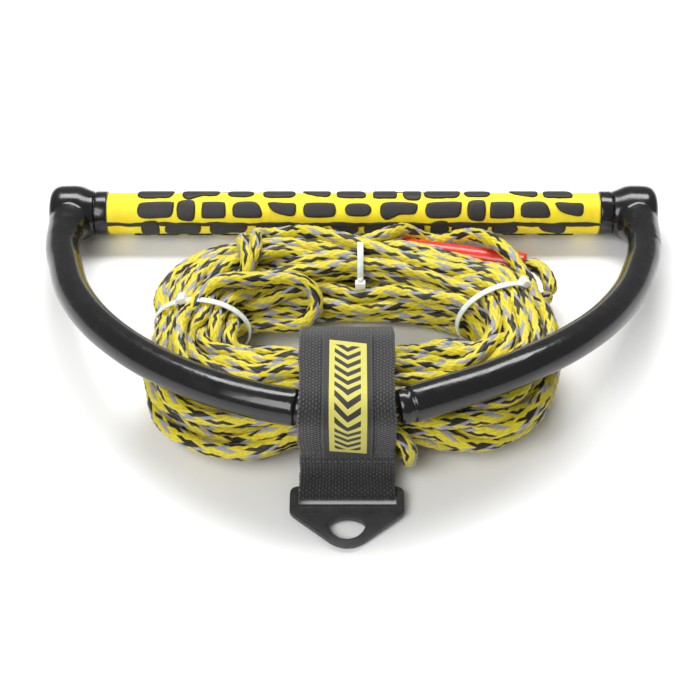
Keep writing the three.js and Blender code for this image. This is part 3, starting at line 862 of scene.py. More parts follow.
def grow(name, carrier_points, edges, tree, values, vectors):
    """Runs a tree on a carrier mesh and keeps the result as a plain mesh."""
    mesh = bpy.data.meshes.new(name)
    mesh.from_pydata([tuple(float(c) * MM for c in p) for p in carrier_points], edges, [])
    for key, data in vectors.items():
        attribute = mesh.attributes.new(key, "FLOAT_VECTOR", "POINT")
        attribute.data.foreach_set("vector", np.asarray(data, np.float32).ravel())
    obj = bpy.data.objects.new(name, mesh)
    scene.collection.objects.link(obj)
    modifier = obj.modifiers.new("grow", "NODES")
    modifier.node_group = tree
    for item in tree.interface.items_tree:
        if item.in_out == "INPUT" and item.name in values:
            modifier[item.identifier] = values[item.name]
    return baked(obj)


def stitches(name, line, up, spacing, size, shape, material):
    edges = [(i, i + 1) for i in range(len(line) - 1)]
    return grow(name, line, edges, FOLLOW_LINE,
                {"Shape": shape, "Spacing": spacing * MM, "Size": size, "Finish": material}, {"up": up})


def seed_shape(name, length, width, height, rounded):
    """One small shape in metres that a tree repeats: a rounded bar, centred on its own origin."""
    work = bmesh.new()
    bmesh.ops.create_cube(work, size=1)
    for v in work.verts:
        v.co = Vector((v.co.x * length * MM, v.co.y * width * MM, v.co.z * height * MM))
    bmesh.ops.bevel(work, geom=work.edges[:], offset=rounded * MM, segments=2 if rounded > 0.3 else 1,
                    profile=0.5, affect="EDGES")
    mesh = bpy.data.meshes.new(name)
    work.to_mesh(mesh)
    work.free()
    obj = bpy.data.objects.new(name, mesh)
    return obj


print("trees:", FOLLOW_LINE.name, ROUND_BAR.name)

# %% [markdown]
# ## The grip
# The grip is closed-cell foam over the bar: bright channels with dark raised pads, like a
# giraffe's coat. The pads are moulded on the sleeve in six rows, and a dark wavy seam runs
# between two of them. Each pad shape is bent round the bar once, and the second tree sets it
# along its rows.
# %% Foam materials
def foam_material(name, color, dark, roughness, depth):
    material, tree, shader = finish(name, color, roughness)
    where = place_of(tree)
    pores = noise(tree, where, 2.6, 4, 0.65)
    stains = noise(tree, where, 0.09, 3, 0.6)
    tree.links.new(blend_colors(tree, spread(tree, stains, 0.45, 0.75), color, dark),
                   shader.inputs["Base Color"])
    tree.links.new(spread(tree, pores, 0.3, 0.7, roughness - 0.06, roughness + 0.1),
                   shader.inputs["Roughness"])
    bump(tree, shader, pores, depth, 0.5)
    return material


YELLOW_FOAM = foam_material("yellow_foam", (0.93, 0.78, 0.01), (0.87, 0.62, 0.005), 0.55, 0.00025)
DARK_FOAM = foam_material("dark_foam", (0.018, 0.016, 0.013), (0.011, 0.01, 0.008), 0.55, 0.0002)

# %% Sleeve, pads and seam
CHANNEL, PAD_TOP, SLEEVE_END = 12.65, 13.75, 152.3
profile = [(11.4, -SLEEVE_END)]
profile += [(CHANNEL + 0.12 * math.sin(x * 0.9) * math.sin(x * 0.23 + 1), x)
            for x in np.linspace(-SLEEVE_END, SLEEVE_END, 240)]
profile += [(11.4, SLEEVE_END)]
sleeve = lathe("foam_sleeve", profile, 72, closed=True)
mount(sleeve, "handle_pack", "foam", YELLOW_FOAM, "grip_sleeve")

# corners of each pad, clockwise from its left end, and how round it is
PADS = {
    "long": [(-11.2, 2.6), (-8, 5.6), (4, 5.4), (9.6, 4.2), (11.2, -2.6), (9.6, -5.6), (-8, -5), (-11, -2)],
    "tall": [(-5.4, 4.2), (-2.6, 7), (3.6, 7.4), (5.4, 4), (5.6, -3.4), (4, -6.8), (-3.4, -6.4), (-5.6, -3)],
    "square": [(-7.4, 3.6), (-6, 5.6), (5.6, 5.6), (7.4, 4), (7.4, -3), (5.8, -5.4), (-5.6, -5.4),
               (-7, -3.6)],
    "rounded": [(-9, 2), (-7.2, 5), (6.4, 5.4), (9.2, 3.6), (8, -2), (4.4, -5.6), (-5.6, -5.4), (-8.8, -2.6)],
    "drop": [(-8.8, -4.4), (-5, 1.4), (3.8, 4.2), (7.8, 3.6), (8.8, -0.6), (8, -4.4), (2, -4.8),
             (-6.6, -5.4)],
    "oval": [(-10, 1.4), (-7.6, 4.9), (6.8, 4.9), (10, 2.4), (9.8, -2.2), (7.4, -4.7), (-7.4, -4.7),
             (-9.9, -1.6)],
    "small": [(-8, 1), (-5.6, 4), (4.2, 4.3), (7.6, 2.2), (8, -1.4), (4.6, -4.2), (-4.8, -4.2), (-7.8, -2)],
    "hump": [(-11.4, 1.6), (-9.2, 6.2), (-5.6, 6.4), (0.8, 3.4), (9.4, 3), (11.6, -0.4), (10, -4.6),
             (-8.6, -5)]}
ROW = [("long", -122), ("tall", -103.3), ("square", -86.4), ("rounded", -65.6), ("drop", -44.2),
       ("oval", -21),
       ("small", 2.8), ("hump", 27.7), ("long", 55.5), ("tall", 75.8), ("square", 91.4), ("rounded", 112),
       ("drop", 133),
       ("small", -143.6)]
ROW_ANGLES = [130.5, 70.5, 10.5, -49.5, -109.5, 190.5]


def pad_shape(name):
    outline = spline(PADS[name] * 3 + PADS[name][:1], 0.4)  # three laps, of which the middle one is kept
    around, lap = 28, len(outline) // 3
    loop = outline[lap + (np.arange(around) * lap / around).astype(int)]
    middle = loop.mean(0)
    reach = np.linalg.norm(loop - middle, axis=1)[:, None]
    levels = [(0.0, CHANNEL - 0.5), (0.05, PAD_TOP - 0.5), (0.5, PAD_TOP - 0.12), (1.2, PAD_TOP),
              (3.4, PAD_TOP)]
    vertices = []
    for inset, radius in levels:
        for x, arc in middle + (loop - middle) * np.maximum(1 - inset / reach, 0.2):
            psi = arc / PAD_TOP
            vertices.append((x, -radius * math.sin(psi), radius * math.cos(psi)))
    faces = grid_faces(len(levels), around, False, True)
    psi = middle[1] / PAD_TOP
    for radius, ring in ((CHANNEL - 0.5, 0), (PAD_TOP, len(levels) - 1)):
        vertices.append((middle[0], -radius * math.sin(psi), radius * math.cos(psi)))
        faces += [(ring * around + k, ring * around + (k + 1) % around,
                   len(vertices) - 1) for k in range(around)]
    return fix_normals(make_object("pad_" + name, vertices, faces))


pads = []
for name in PADS:
    spots, turns = [], []
    for n, angle in enumerate(ROW_ANGLES):
        for kind, x in ROW:
            place = (x + (0, 67, 131, 29, 98, 50)[n] + SLEEVE_END) % 305.5 - SLEEVE_END if n else x
            if n % 2:
                place = -place
            if kind == name and abs(place) < 141:
                spots.append((place, BAR_Y, BAR_Z))
                turns.append((math.radians(angle - 90), 0, 0))
    shape = pad_shape(name)
    pads.append(grow("pads_" + name, spots, [], ROUND_BAR, {"Shape": shape, "Finish": DARK_FOAM},
                     {"turn": turns}))
    bpy.data.objects.remove(shape)
pad_set = joined(*pads)
pad_set.name = "grip_pads"
mount(pad_set, "handle_pack", "foam", DARK_FOAM)

vertices, steps = [], 260
for x in np.linspace(-SLEEVE_END + 0.2, SLEEVE_END - 0.2, steps):
    low = 166.5 + 1.6 * math.sin(x * 0.17) + 0.9 * math.sin(x * 0.41 + 2)
    high = 179 + 1.5 * math.sin(x * 0.23 + 1) + 0.9 * math.sin(x * 0.53)
    for psi, radius in ((low, 12.2), (low + 1, 13.2), (low + 4, 13.45), (high - 4, 13.45),
                        (high - 1, 13.2), (high, 12.2)):
        a = math.radians(psi)
        vertices.append((x, BAR_Y + radius * math.cos(a), BAR_Z + radius * math.sin(a)))
faces = grid_faces(steps, 6, False, True) + [tuple(range(6)), tuple(range(len(vertices) - 6, len(vertices)))]
seam = fix_normals(make_object("grip_seam", vertices, faces))
mount(seam, "handle_pack", "foam", DARK_FOAM)

# %% [markdown]
# ## Arms, caps and collars
# Each arm and its end cap are one glossy moulding of supple plastic. A cap turned on the bar's
# axis, a tube for the arm and a few overlapping rings at its root are merged by a voxel remesh
# and smoothed, which gives the soft fillets of a moulding. Only the outside is right: the result
# is solid, while the real arm is hollow with a rope through it, as it is in the CAD model.
# %% Glossy black moulding
BLACK_GLOSS, tree, shader = finish("black_gloss", (0.007, 0.007, 0.0075), 0.22, Specular_IOR_Level=0.4,
                                   Coat_Weight=0.3, Coat_Roughness=0.06)
where = place_of(tree)
tree.links.new(spread(tree, noise(tree, where, 0.12, 4, 0.6), 0.35, 0.7, 0.15, 0.3),
               shader.inputs["Roughness"])
scuffs = noise(tree, place_of(tree, (1.1, 0.06, 0.06)), 1.0, 5, 0.7)
tree.links.new(blend_colors(tree, spread(tree, scuffs, 0.62, 0.8), (0.007, 0.007, 0.0075),
                            (0.018, 0.018, 0.019)),
               shader.inputs["Base Color"])
bump(tree, shader, noise(tree, where, 0.5, 3), 0.0002, 0.25)


def make_arm(side):
    word = "left" if side < 0 else "right"
    end = 188.0
    cap = [(0.01, end), (11.4, end), (13.4, end - 0.5), (14.9, end - 1.5), (16.4, end - 3.4),
           (17.2, end - 6.4),
           (17.4, end - 10), (17.4, 172), (16.8, 168.5), (15.4, 165.2), (14.2, 162.6), (13.75, 160.6),
           (0.01, 160.6)]
    body = lathe("moulding_" + word, [(r, side * x) for r, x in cap], 64)
    root_line = [on_handle(side * x, s) for x,
                 s in ((174.6, 0), (174.9, 8), (175.6, 16), (176.4, 24), (176.2, 34), (175.4, 42))]
    root = tube("root", root_line, [15.5, 14.2, 12.4, 10.9, 10.3, 10.0])
    line = spline(arm_route[side], 3)
    arm = tube("arm", line, ARM_RADIUS)
    mouth = np.array(on_handle(side * ARM_MOUTH[0], ARM_MOUTH[1]))
    last = line[-1]
    along = (mouth - last) / np.linalg.norm(mouth - last)
    reach = np.linalg.norm(mouth - last)
    stops = [(-1.5, 8.5), (1.2, 8.5), (1.7, 9.0), (2.4, 9.4), (reach - 2.6, 9.4), (reach - 1.4, 8.9),
             (reach - 0.5, 8.0), (reach, 6.9)]
    bead = tube("bead", [last + along * t for t, _ in stops], [r for _, r in stops])
    body = joined(body, root, arm, bead)
    remesh = body.modifiers.new("merge", "REMESH")
    remesh.mode, remesh.voxel_size = "VOXEL", 0.00085
    soften = body.modifiers.new("soften", "SMOOTH")
    soften.factor, soften.iterations = 0.5, 7
    baked(body)
    return mount(body, "handle_pack", "black_moulding", BLACK_GLOSS, word + "_bridle_arm")


for side in (-1, 1):
    make_arm(side)
    word = "left" if side < 0 else "right"
    inner, outer = 152.6, 160.3
    ring = [(11.4, inner), (13.1, inner), (13.6, inner + 0.3), (13.78, inner + 0.9), (13.78, outer - 0.9),
            (13.6, outer - 0.3), (13.1, outer), (11.4, outer)]
    collar = lathe(word + "_collar_ring", [(r, side * x) for r, x in ring], 64, closed=True)
    mount(collar, "handle_pack", "black_moulding", BLACK_GLOSS, word + "_grip_collar")

# %% [markdown]
# ## Cable ties
# Three natural nylon ties hold the coil. Each is a thin band pulled tight round the bundle, with
# a square lock and fine teeth along the band. The band is a strip swept round an ellipse, and
# the first tree sets a tooth every millimetre or so.
# %% Cable ties
NYLON, tree, shader = finish("natural_nylon", (0.83, 0.84, 0.8), 0.34, Subsurface_Weight=0.35,
                             Subsurface_Scale=0.002, Coat_Weight=0.15)
where = place_of(tree)
tree.links.new(blend_colors(tree, spread(tree, noise(tree, where, 0.3, 3), 0.35, 0.7), (0.86, 0.87, 0.84),
                            (0.72, 0.72, 0.66)), shader.inputs["Base Color"])
bump(tree, shader, noise(tree, where, 1.4, 3), 0.00012, 0.4)
TOOTH = seed_shape("tooth", 0.55, 2.5, 0.5, 0.12)


def make_tie(name, hold, head_angle):
    at, _, _, wide, high, z, _ = hold
    angle = np.array([math.radians(at)])
    step = 1e-3
    along = (oval_point(angle + step) - oval_point(angle - step))[0]
    along /= np.linalg.norm(along)
    out = np.array([along[1], -along[0], 0.0])
    along = np.array([along[0], along[1], 0.0])
    middle = np.array([*oval_point(angle)[0], z])
    inner, tall = wide + 1.1, high + 1.1

    def on_band(phi, lift, across=0.0):
        grow_by = np.array([inner + lift, (tall / inner) * (inner + lift)])
        return middle + out * grow_by[0] * math.cos(phi) + np.array([0, 0,
                grow_by[1] * math.sin(phi)]) + along * across

    edge = [(0.0, -1.6), (0.2, -1.8), (1.0, -1.8), (1.2, -1.6), (1.2, 1.6), (1.0, 1.8), (0.2, 1.8),
            (0.0, 1.6)]
    turns = 96
    vertices = [on_band(2 * math.pi * i / turns, lift, across) for i in range(turns) for lift, across in edge]
    band = fix_normals(make_object(name + "_band", vertices, grid_faces(turns, 8, True, True)))
    phis = [math.radians(head_angle + 9 + k * 3) for k in range(112)]
    line = [on_band(phi, 1.1) for phi in phis]
    up = [on_band(phi, 2) - on_band(phi, 1) for phi in phis]
    teeth = stitches(name + "_teeth", line, up, 1.15, (1, 1, 1), TOOTH, NYLON)
    # the lock, and the short tail that was cut off beyond it
    phi = math.radians(head_angle)
    normal = on_band(phi, 2) - on_band(phi, 1)
    normal /= np.linalg.norm(normal)
    tangent = np.cross(along, normal)
    work = bmesh.new()
    bmesh.ops.create_cube(work, size=1)
    bmesh.ops.bevel(work, geom=work.edges[:], offset=0.1, segments=2, profile=0.6, affect="EDGES")
    for v in work.verts:
        v.co = Vector((on_band(phi, 2.6) + along * v.co.x * 6 + tangent * v.co.y * 4.6 + normal * v.co.z * 4.2) * MM)
    tail = bmesh.ops.create_cube(work, size=1)["verts"]
    for v in tail:
        v.co = Vector((on_band(phi, 2.3) + along * v.co.x * 3.0 + tangent * (v.co.y * 3.4 + 2.6) + normal * v.co.z * 1.0) * MM)
    mesh = bpy.data.meshes.new("lock")
    work.to_mesh(mesh)
    work.free()
    lock = bpy.data.objects.new("lock", mesh)
    fix_normals(lock)
    tie = joined(band, teeth, lock)
    return mount(tie, "handle_pack", "nylon", NYLON, name)


make_tie("left_cable_tie", LEFT_TIE, 70)
make_tie("centre_cable_tie", CENTRE_TIE, 175)
make_tie("right_cable_tie", RIGHT_TIE, 60)

# %% [markdown]
# ## The red guard
# A short vinyl tube protects the tow loop where it sits over a boat's hook. It is a plain tube
# with a real wall, a little flattened by the rope inside it.
# %% Red guard
RED_VINYL, tree, shader = finish("red_vinyl", (0.78, 0.035, 0.015), 0.28, Coat_Weight=0.3,
                                 Coat_Roughness=0.15)
where = place_of(tree)
tree.links.new(blend_colors(tree, spread(tree, noise(tree, where, 0.08, 3), 0.3, 0.7), (0.82, 0.04, 0.016),
                            (0.66, 0.026, 0.012)), shader.inputs["Base Color"])
tree.links.new(spread(tree, noise(tree, where, 0.4, 4), 0.3, 0.7, 0.22, 0.36), shader.inputs["Roughness"])
bump(tree, shader, noise(tree, where, 0.35, 2), 0.0004, 0.35)
start, end = np.array((29, 82.4, 19.4)), np.array((103, 64.4, 22.4))
steps, sides = 40, 40
line = np.array([start + (end - start) * k / steps for k in range(steps + 1)])
_, normal, side = frames_along(line)
vertices = []
ends_at = lambda k: min(k, steps - k)
for radius_of, order in ((lambda k: 6.5 - (0.5 if ends_at(k) == 0 else 0), range(steps + 1)),
                         (lambda k: 4.95 + (0.4 if ends_at(k) == 0 else 0), range(steps, -1, -1))):
    for k in order:
        oval = 1 - 0.035 * math.sin(k / steps * math.pi)
        for j in range(sides):
            a = 2 * math.pi * j / sides
            vertices.append(line[k] + radius_of(k) * (math.cos(a) * normal[k] * oval + math.sin(a) * side[k]))
guard = fix_normals(make_object("guard_tube", vertices, grid_faces(2 * steps + 2, sides, True, True)))
mount(guard, "loop_guard", "red_tube", RED_VINYL, "loop_guard")

# %% [markdown]
# ## The strap
# The strap is two-inch polypropylene webbing. It turns round the tab's bar, runs up over both
# arms, back round the bundle and under it, and closes on itself with hook and loop. It stands a
# few millimetres further from the bundle's middle than its CAD solid does. Its middle
# line is drawn in the side view from arcs and straight stretches, then given width, thickness,
# rounded selvedges and the raised grain of a coarse weave.
# %% The strap's line
STRAP_X, STRAP_WIDE, STRAP_THICK = -3.8, 50.8, 1.8
BUNDLE, ARMS, EYE = np.array((-52.0, 34.8)), np.array((-86.2, 58.2)), np.array((-98.0, 5.3))
OVER_BUNDLE, OVER_ARMS, HALF_T = 34.0, 11.7, STRAP_THICK / 2
OVER_OVERLAP = OVER_BUNDLE + STRAP_THICK + 2.7


def on_circle(centre, radius, angle):
    return centre + radius * np.array([math.cos(angle), math.sin(angle)])


def arc_points(centre, radius, start, end, steps):
    return [on_circle(centre, radius, start + (end - start) * k / steps) for k in range(steps + 1)]


def tangent_angle(side, first_radius):
    across = ARMS - BUNDLE
    return math.atan2(across[1], across[0]) % (2 * math.pi) + side * math.acos(
        (first_radius - OVER_ARMS) / np.linalg.norm(across))


FRONT, TOP = tangent_angle(1, OVER_OVERLAP), tangent_angle(-1, OVER_BUNDLE)
front_point = on_circle(BUNDLE, OVER_OVERLAP, FRONT)
rise = on_circle(ARMS, OVER_ARMS, FRONT) - front_point
rise /= np.linalg.norm(rise)
eye_part = [(-88.2, 8.6), (-89.6, 4.4), (-92.8, 1.75)]
eye_part += arc_points(EYE, 4.3, math.radians(275), math.radians(92), 16)
eye_part += [(-95.2, 9.9), (-92.4, 11.2), (-90.6, 14), (-89.9, 18)]
front_part = [front_point] + arc_points(ARMS, OVER_ARMS, FRONT, TOP, 16)
behind = arc_points(BUNDLE, OVER_BUNDLE, TOP, math.radians(-82), 34)
under = arc_points(BUNDLE, OVER_BUNDLE, math.radians(-98), FRONT - 2 * math.pi, 12)
behind[-1][1] = under[0][1] = HALF_T
strap_line = np.array([*eye_part, *front_part, *behind, *under, under[-1] + rise * 7], float)


def even_line(points, step):
    """Even points along a line in the side view, with its corners kept round."""
    line = resample(np.column_stack([points, np.zeros(len(points))]), step)[:, :2]
    for _ in range(3):
        line[1:-1] = (line[:-2] + 2 * line[1:-1] + line[2:]) / 4
    return line


def band(name, points, low, high, wide, x_middle, step=1.2, cross=1.2, edge=0.45, shape=None, ripple=None):
    """A strip that follows a side-view line, from one offset off it to another."""
    line = even_line(np.asarray(points, float), step)
    along = np.gradient(line, axis=0)
    along /= np.linalg.norm(along, axis=1)[:, None]
    normal = np.column_stack([-along[:, 1], along[:, 0]])
    run = np.concatenate([[0], np.cumsum(np.linalg.norm(np.diff(line, axis=0), axis=1))])
    columns = max(int(round(wide / cross)), 4)
    xs = np.linspace(-wide / 2, wide / 2, columns + 1)
    middle, half = (low + high) / 2, (high - low) / 2
    section = [(x, 1) for x in xs] + [(x, -1) for x in xs[::-1]]
    vertices, uvs = [], []
    for i in range(len(line)):
        for x, face in section:
            inset = edge if abs(abs(x) - wide / 2) < 1e-6 else 0
            lift = middle + face * (half - inset)
            px = x + (shape(x, run[i], run[-1]) if shape else 0)
            if ripple:
                lift += ripple(x, run[i], face)
            p = line[i] + normal[i] * lift
            vertices.append((x_middle + px, p[0], p[1]))
            uvs.append((x + wide / 2, run[i]))
    size = len(section)
    faces = grid_faces(len(line), size, False, True)
    faces += [tuple(range(size)), tuple(range(len(vertices) - size, len(vertices)))]
    uv = [uvs[v] for f in faces for v in f]
    obj = make_object(name, vertices, faces, uv)
    work = bmesh.new()
    work.from_mesh(obj.data)
    bmesh.ops.recalc_face_normals(work, faces=work.faces)
    work.to_mesh(obj.data)
    work.free()
    return obj


# %% Webbing material
def weave(tree, across_pitch, along_pitch):
    """Height of a plain weave of thick yarns: rows of bumps, every other row half a step on."""
    uv = add(tree, "ShaderNodeUVMap", uv_map="cloth").outputs["UV"]
    wobble = noise(tree, uv, 0.35, 2)
    split = add(tree, "ShaderNodeSeparateXYZ", {"Vector": uv})
    math_node = lambda kind, a, b=0.0: add(tree, "ShaderNodeMath", {0: a, 1: b},
                                           operation=kind).outputs["Value"]
    column = math_node("DIVIDE", split.outputs["X"], across_pitch)
    odd = math_node("MULTIPLY", math_node("FLOORED_MODULO", math_node("FLOOR", column), 2.0), 0.5)
    row = math_node("ADD", math_node("ADD", math_node("DIVIDE", split.outputs["Y"], along_pitch), odd),
                    math_node("MULTIPLY", wobble, 0.12))
    bump_x = math_node("ABSOLUTE", math_node("SINE", math_node("MULTIPLY", column, math.pi)))
    bump_y = math_node("ABSOLUTE", math_node("SINE", math_node("MULTIPLY", row, math.pi)))
    return math_node("MULTIPLY", bump_x, bump_y)


WEBBING, tree, shader = finish("webbing", (0.012, 0.012, 0.012), 0.55, Sheen_Weight=0.25,
                               Sheen_Roughness=0.45)
grain = weave(tree, 1.7, 2.3)
fuzz = noise(tree, place_of(tree), 1.3, 4, 0.7)
# painted highlight: the raised tops of the weave are painted lighter, as if light glinted on them
glint = add(tree, "ShaderNodeMath", {0: spread(tree, grain, 0.62, 0.92), 1: spread(tree, fuzz, 0.35, 0.7)},
            operation="MULTIPLY", use_clamp=True).outputs["Value"]
tree.links.new(blend_colors(tree, glint, (0.009, 0.009, 0.0095), (0.14, 0.13, 0.12)),
               shader.inputs["Base Color"])
bump(tree, shader, add(tree, "ShaderNodeMath", {0: grain, 1: fuzz}, operation="ADD").outputs["Value"],
     0.0006, 0.9)


def worn_edge(x, run, total):
    """The selvedges wander a little and draw in over the arms."""
    side = x / (STRAP_WIDE / 2)
    return side * (0.35 * math.sin(run * 0.11) + 0.2 * math.sin(run * 0.31 + 1) - 0.5 * math.exp(-((run - 110) / 26) ** 2))


def grain_height(x, run, face):
    return face * 0.09 * math.sin(x * math.pi / 1.7) * math.sin(run * math.pi / 2.3)


strap = band("strap_webbing", strap_line, -HALF_T, HALF_T, STRAP_WIDE, STRAP_X, 1.1, 0.85, 0.5, worn_edge,
             grain_height)
mount(strap, "handle_pack", "webbing", WEBBING, "wrap_strap")
flat_length = float(np.linalg.norm(np.diff(even_line(strap_line, 1.1), axis=0), axis=1).sum())
print("the strap is", round(flat_length), "mm long")

# %% Hook and loop pads, and the stitches
NAP, tree, shader = finish("nap", (0.012, 0.012, 0.012), 0.8, Sheen_Weight=0.4)
fluff = noise(tree, place_of(tree), 1.6, 5, 0.75)
tree.links.new(blend_colors(tree, fluff, (0.006, 0.006, 0.006), (0.03, 0.03, 0.03)),
               shader.inputs["Base Color"])
bump(tree, shader, fluff, 0.0008, 0.9)
for name, radius in (("hook_patch", OVER_BUNDLE + HALF_T + 0.75),
                     ("loop_patch", OVER_BUNDLE + HALF_T + 1.95)):
    curve = arc_points(BUNDLE, radius, math.radians(207), FRONT, 8)
    pad = band(name + "_nap", [*curve, curve[-1] + rise * 6], -0.45, 0.45, 46, STRAP_X, 1.5, 2, 0.2)
    mount(pad, "handle_pack", "hook_and_loop", NAP, name)

THREAD, tree, shader = finish("black_thread", (0.02, 0.02, 0.02), 0.45, Sheen_Weight=0.3)
twist = noise(tree, place_of(tree, (2, 2, 2)), 1.0, 3)
tree.links.new(blend_colors(tree, twist, (0.02, 0.02, 0.02), (0.12, 0.12, 0.11)), shader.inputs["Base Color"])
bump(tree, shader, twist, 0.0002, 0.6)
STITCH = seed_shape("stitch", 2.1, 0.62, 0.5, 0.16)


def side_line_points(points, offset, start, end, count):
    """Points on a side-view line between two runs, lifted off it, with the outward direction."""
    line = even_line(np.asarray(points, float), 0.8)
    along = np.gradient(line, axis=0)
    along /= np.linalg.norm(along, axis=1)[:, None]
    normal = np.column_stack([-along[:, 1], along[:, 0]])
    run = np.concatenate([[0], np.cumsum(np.linalg.norm(np.diff(line, axis=0), axis=1))])
    at = np.linspace(start, end, count)
    pick = lambda a: np.column_stack([np.interp(at, run, a[:, k]) for k in range(2)])
    return pick(line + normal * offset), pick(normal), run[-1]


sewn = []
for run_at in (42.5, 46.5, 50.5):
    p, n, _ = side_line_points(strap_line, HALF_T + 0.05, run_at, run_at + 0.01, 2)
    line = [(STRAP_X + x, *p[0]) for x in np.linspace(-23.6, 23.6, 24)]
    sewn.append(stitches("row", line, [(0, *n[0])] * 24, 2.9, (1, 1, 1), STITCH, THREAD))
stitch_set = joined(*sewn)
stitch_set.name = "strap_stitches"
mount(stitch_set, "handle_pack", "webbing", THREAD)

# %% [markdown]
# ## The label
# A woven patch is sewn on the strap where it passes over the arms. It has a plain panel with a
# row of chevrons and a stitched border.
# %% Label
LABEL, tree, shader = finish("label_cloth", (0.015, 0.015, 0.015), 0.6, Sheen_Weight=0.15)
uv = add(tree, "ShaderNodeUVMap", uv_map="cloth").outputs["UV"]
split = add(tree, "ShaderNodeSeparateXYZ", {"Vector": uv})
calc = lambda kind, a, b=0.0: add(tree, "ShaderNodeMath", {0: a, 1: b}, operation=kind).outputs["Value"]
LABEL_WIDE = 27.0
label_end = [on_circle(BUNDLE, OVER_BUNDLE, TOP - math.radians(a)) for a in (2, 4, 6, 8)]
label_line = [*front_part, *label_end]
label_length = float(np.linalg.norm(np.diff(np.array(label_line), axis=0), axis=1).sum())
across = calc("SUBTRACT", split.outputs["X"], LABEL_WIDE / 2 + 0.4)
slant = calc("ADD", split.outputs["Y"], calc("MULTIPLY", across, 0.16))
inside = lambda value, low, high: calc("MULTIPLY", calc("GREATER_THAN", value, low),
                                       calc("LESS_THAN", value, high))
panel = calc("MULTIPLY", inside(across, -9.8, 9.8), inside(slant, 7.0, label_length - 4.5))
core = calc("MULTIPLY", inside(across, -7.0, 6.6), inside(slant, 10.0, label_length - 7.5))
fold = calc("ABSOLUTE", calc("ADD", across, 0.2))
step = calc("DIVIDE", calc("SUBTRACT", slant, calc("MULTIPLY", fold, 0.75)), 6.2)
chevron = calc("LESS_THAN", calc("FLOORED_MODULO", step, 1.0), 0.52)
ink = calc("MULTIPLY", core, chevron)
rows = calc("ABSOLUTE", calc("SINE", calc("MULTIPLY", split.outputs["Y"], math.pi / 0.45)))
yellow = blend_colors(tree, rows, (0.5, 0.46, 0.06), (0.64, 0.59, 0.12))
colored = blend_colors(tree, panel, (0.013, 0.013, 0.013), yellow)
tree.links.new(blend_colors(tree, ink, colored, (0.014, 0.014, 0.014)), shader.inputs["Base Color"])
raised = calc("ADD", calc("MULTIPLY", rows, 0.35), calc("ADD", panel, ink))
bump(tree, shader, raised, 0.0003, 0.6)
label = band("label_cloth_patch", label_line, HALF_T + 0.25, HALF_T + 1.1, LABEL_WIDE, STRAP_X + 0.2, 0.9,
             1.0, 0.3)
mount(label, "handle_pack", "label", LABEL, "label_patch")
edges_sewn = []
for x in (-12.6, 12.6):
    p, n, total = side_line_points(label_line, HALF_T + 1.02, 1.5, label_length - 1.5, 60)
    line = [(STRAP_X + 0.2 + x, a, b) for a, b in p]
    edges_sewn.append(stitches("edge", line, [(0, a, b) for a, b in n], 2.2, (0.75, 0.7, 0.6), STITCH,
                               THREAD))
label_stitches = joined(*edges_sewn)
label_stitches.name = "label_stitches"
mount(label_stitches, "handle_pack", "label", THREAD)
print("the label is", round(label_length), "mm long")

# %% [markdown]
# ## The hang tab
# The tab is a moulded plate with a slot for the strap's eye and a lens-shaped hole to hang it by.
# Its outline is a flat curve that is given thickness and a soft bevel, then made a mesh.
# %% Tab
TAB_PLASTIC, tree, shader = finish("tab_plastic", (0.04, 0.041, 0.043), 0.42)
where = place_of(tree)
tree.links.new(blend_colors(tree, spread(tree, noise(tree, where, 0.25, 4, 0.6), 0.35, 0.7),
                            (0.045, 0.046, 0.048),
                            (0.03, 0.031, 0.033)), shader.inputs["Base Color"])
tree.links.new(spread(tree, noise(tree, where, 1.8, 4), 0.3, 0.7, 0.34, 0.5), shader.inputs["Roughness"])
bump(tree, shader, noise(tree, where, 3.2, 3, 0.7), 0.00018, 0.5)


def bezier(points, steps=10):
    p = np.array(points, float)
    t = np.linspace(0, 1, steps, endpoint=False)[:, None]
    if len(p) == 2:
        return [tuple(p[0])]
    if len(p) == 3:
        return ((1 - t) ** 2 * p[0] + 2 * t * (1 - t) * p[1] + t * t * p[2]).tolist()
    return ((1 - t) ** 3 * p[0] + 3 * t * (1 - t) ** 2 * p[1] + 3 * t * t * (1 - t) * p[2] + t ** 3 * p[3]).tolist()


outline = []
for piece in ([(-25.5, 2.3), (-30.5, 2.3), (-30.5, -2.7)], [(-30.5, -2.7), (-30.5, -12.5)],
              [(-30.5, -12.5), (-30.5, -14.5), (-27.9, -16.9)], [(-27.9, -16.9), (-9, -32.4)],
              [(-9, -32.4), (0, -38.6), (9, -32.4)], [(9, -32.4), (27.9, -16.9)],
              [(27.9, -16.9), (30.5, -14.5), (30.5, -12.5)], [(30.5, -12.5), (30.5, -2.7)],
              [(30.5, -2.7), (30.5, 2.3), (25.5, 2.3)]):
    outline += bezier(piece)
outline.append((25.5, 2.3))
slot_hole = [(-26.2, -2.3), (26.2, -2.3), (26.2, -9.2), (-26.2, -9.2)]
lens_hole = bezier([(-9.8, -22.6), (-6.5, -16.6), (6.5, -16.6), (9.8, -22.6)], 18) + bezier(
    [(9.8, -22.6), (7.2, -33.6), (-7.2, -33.6), (-9.8, -22.6)], 18)


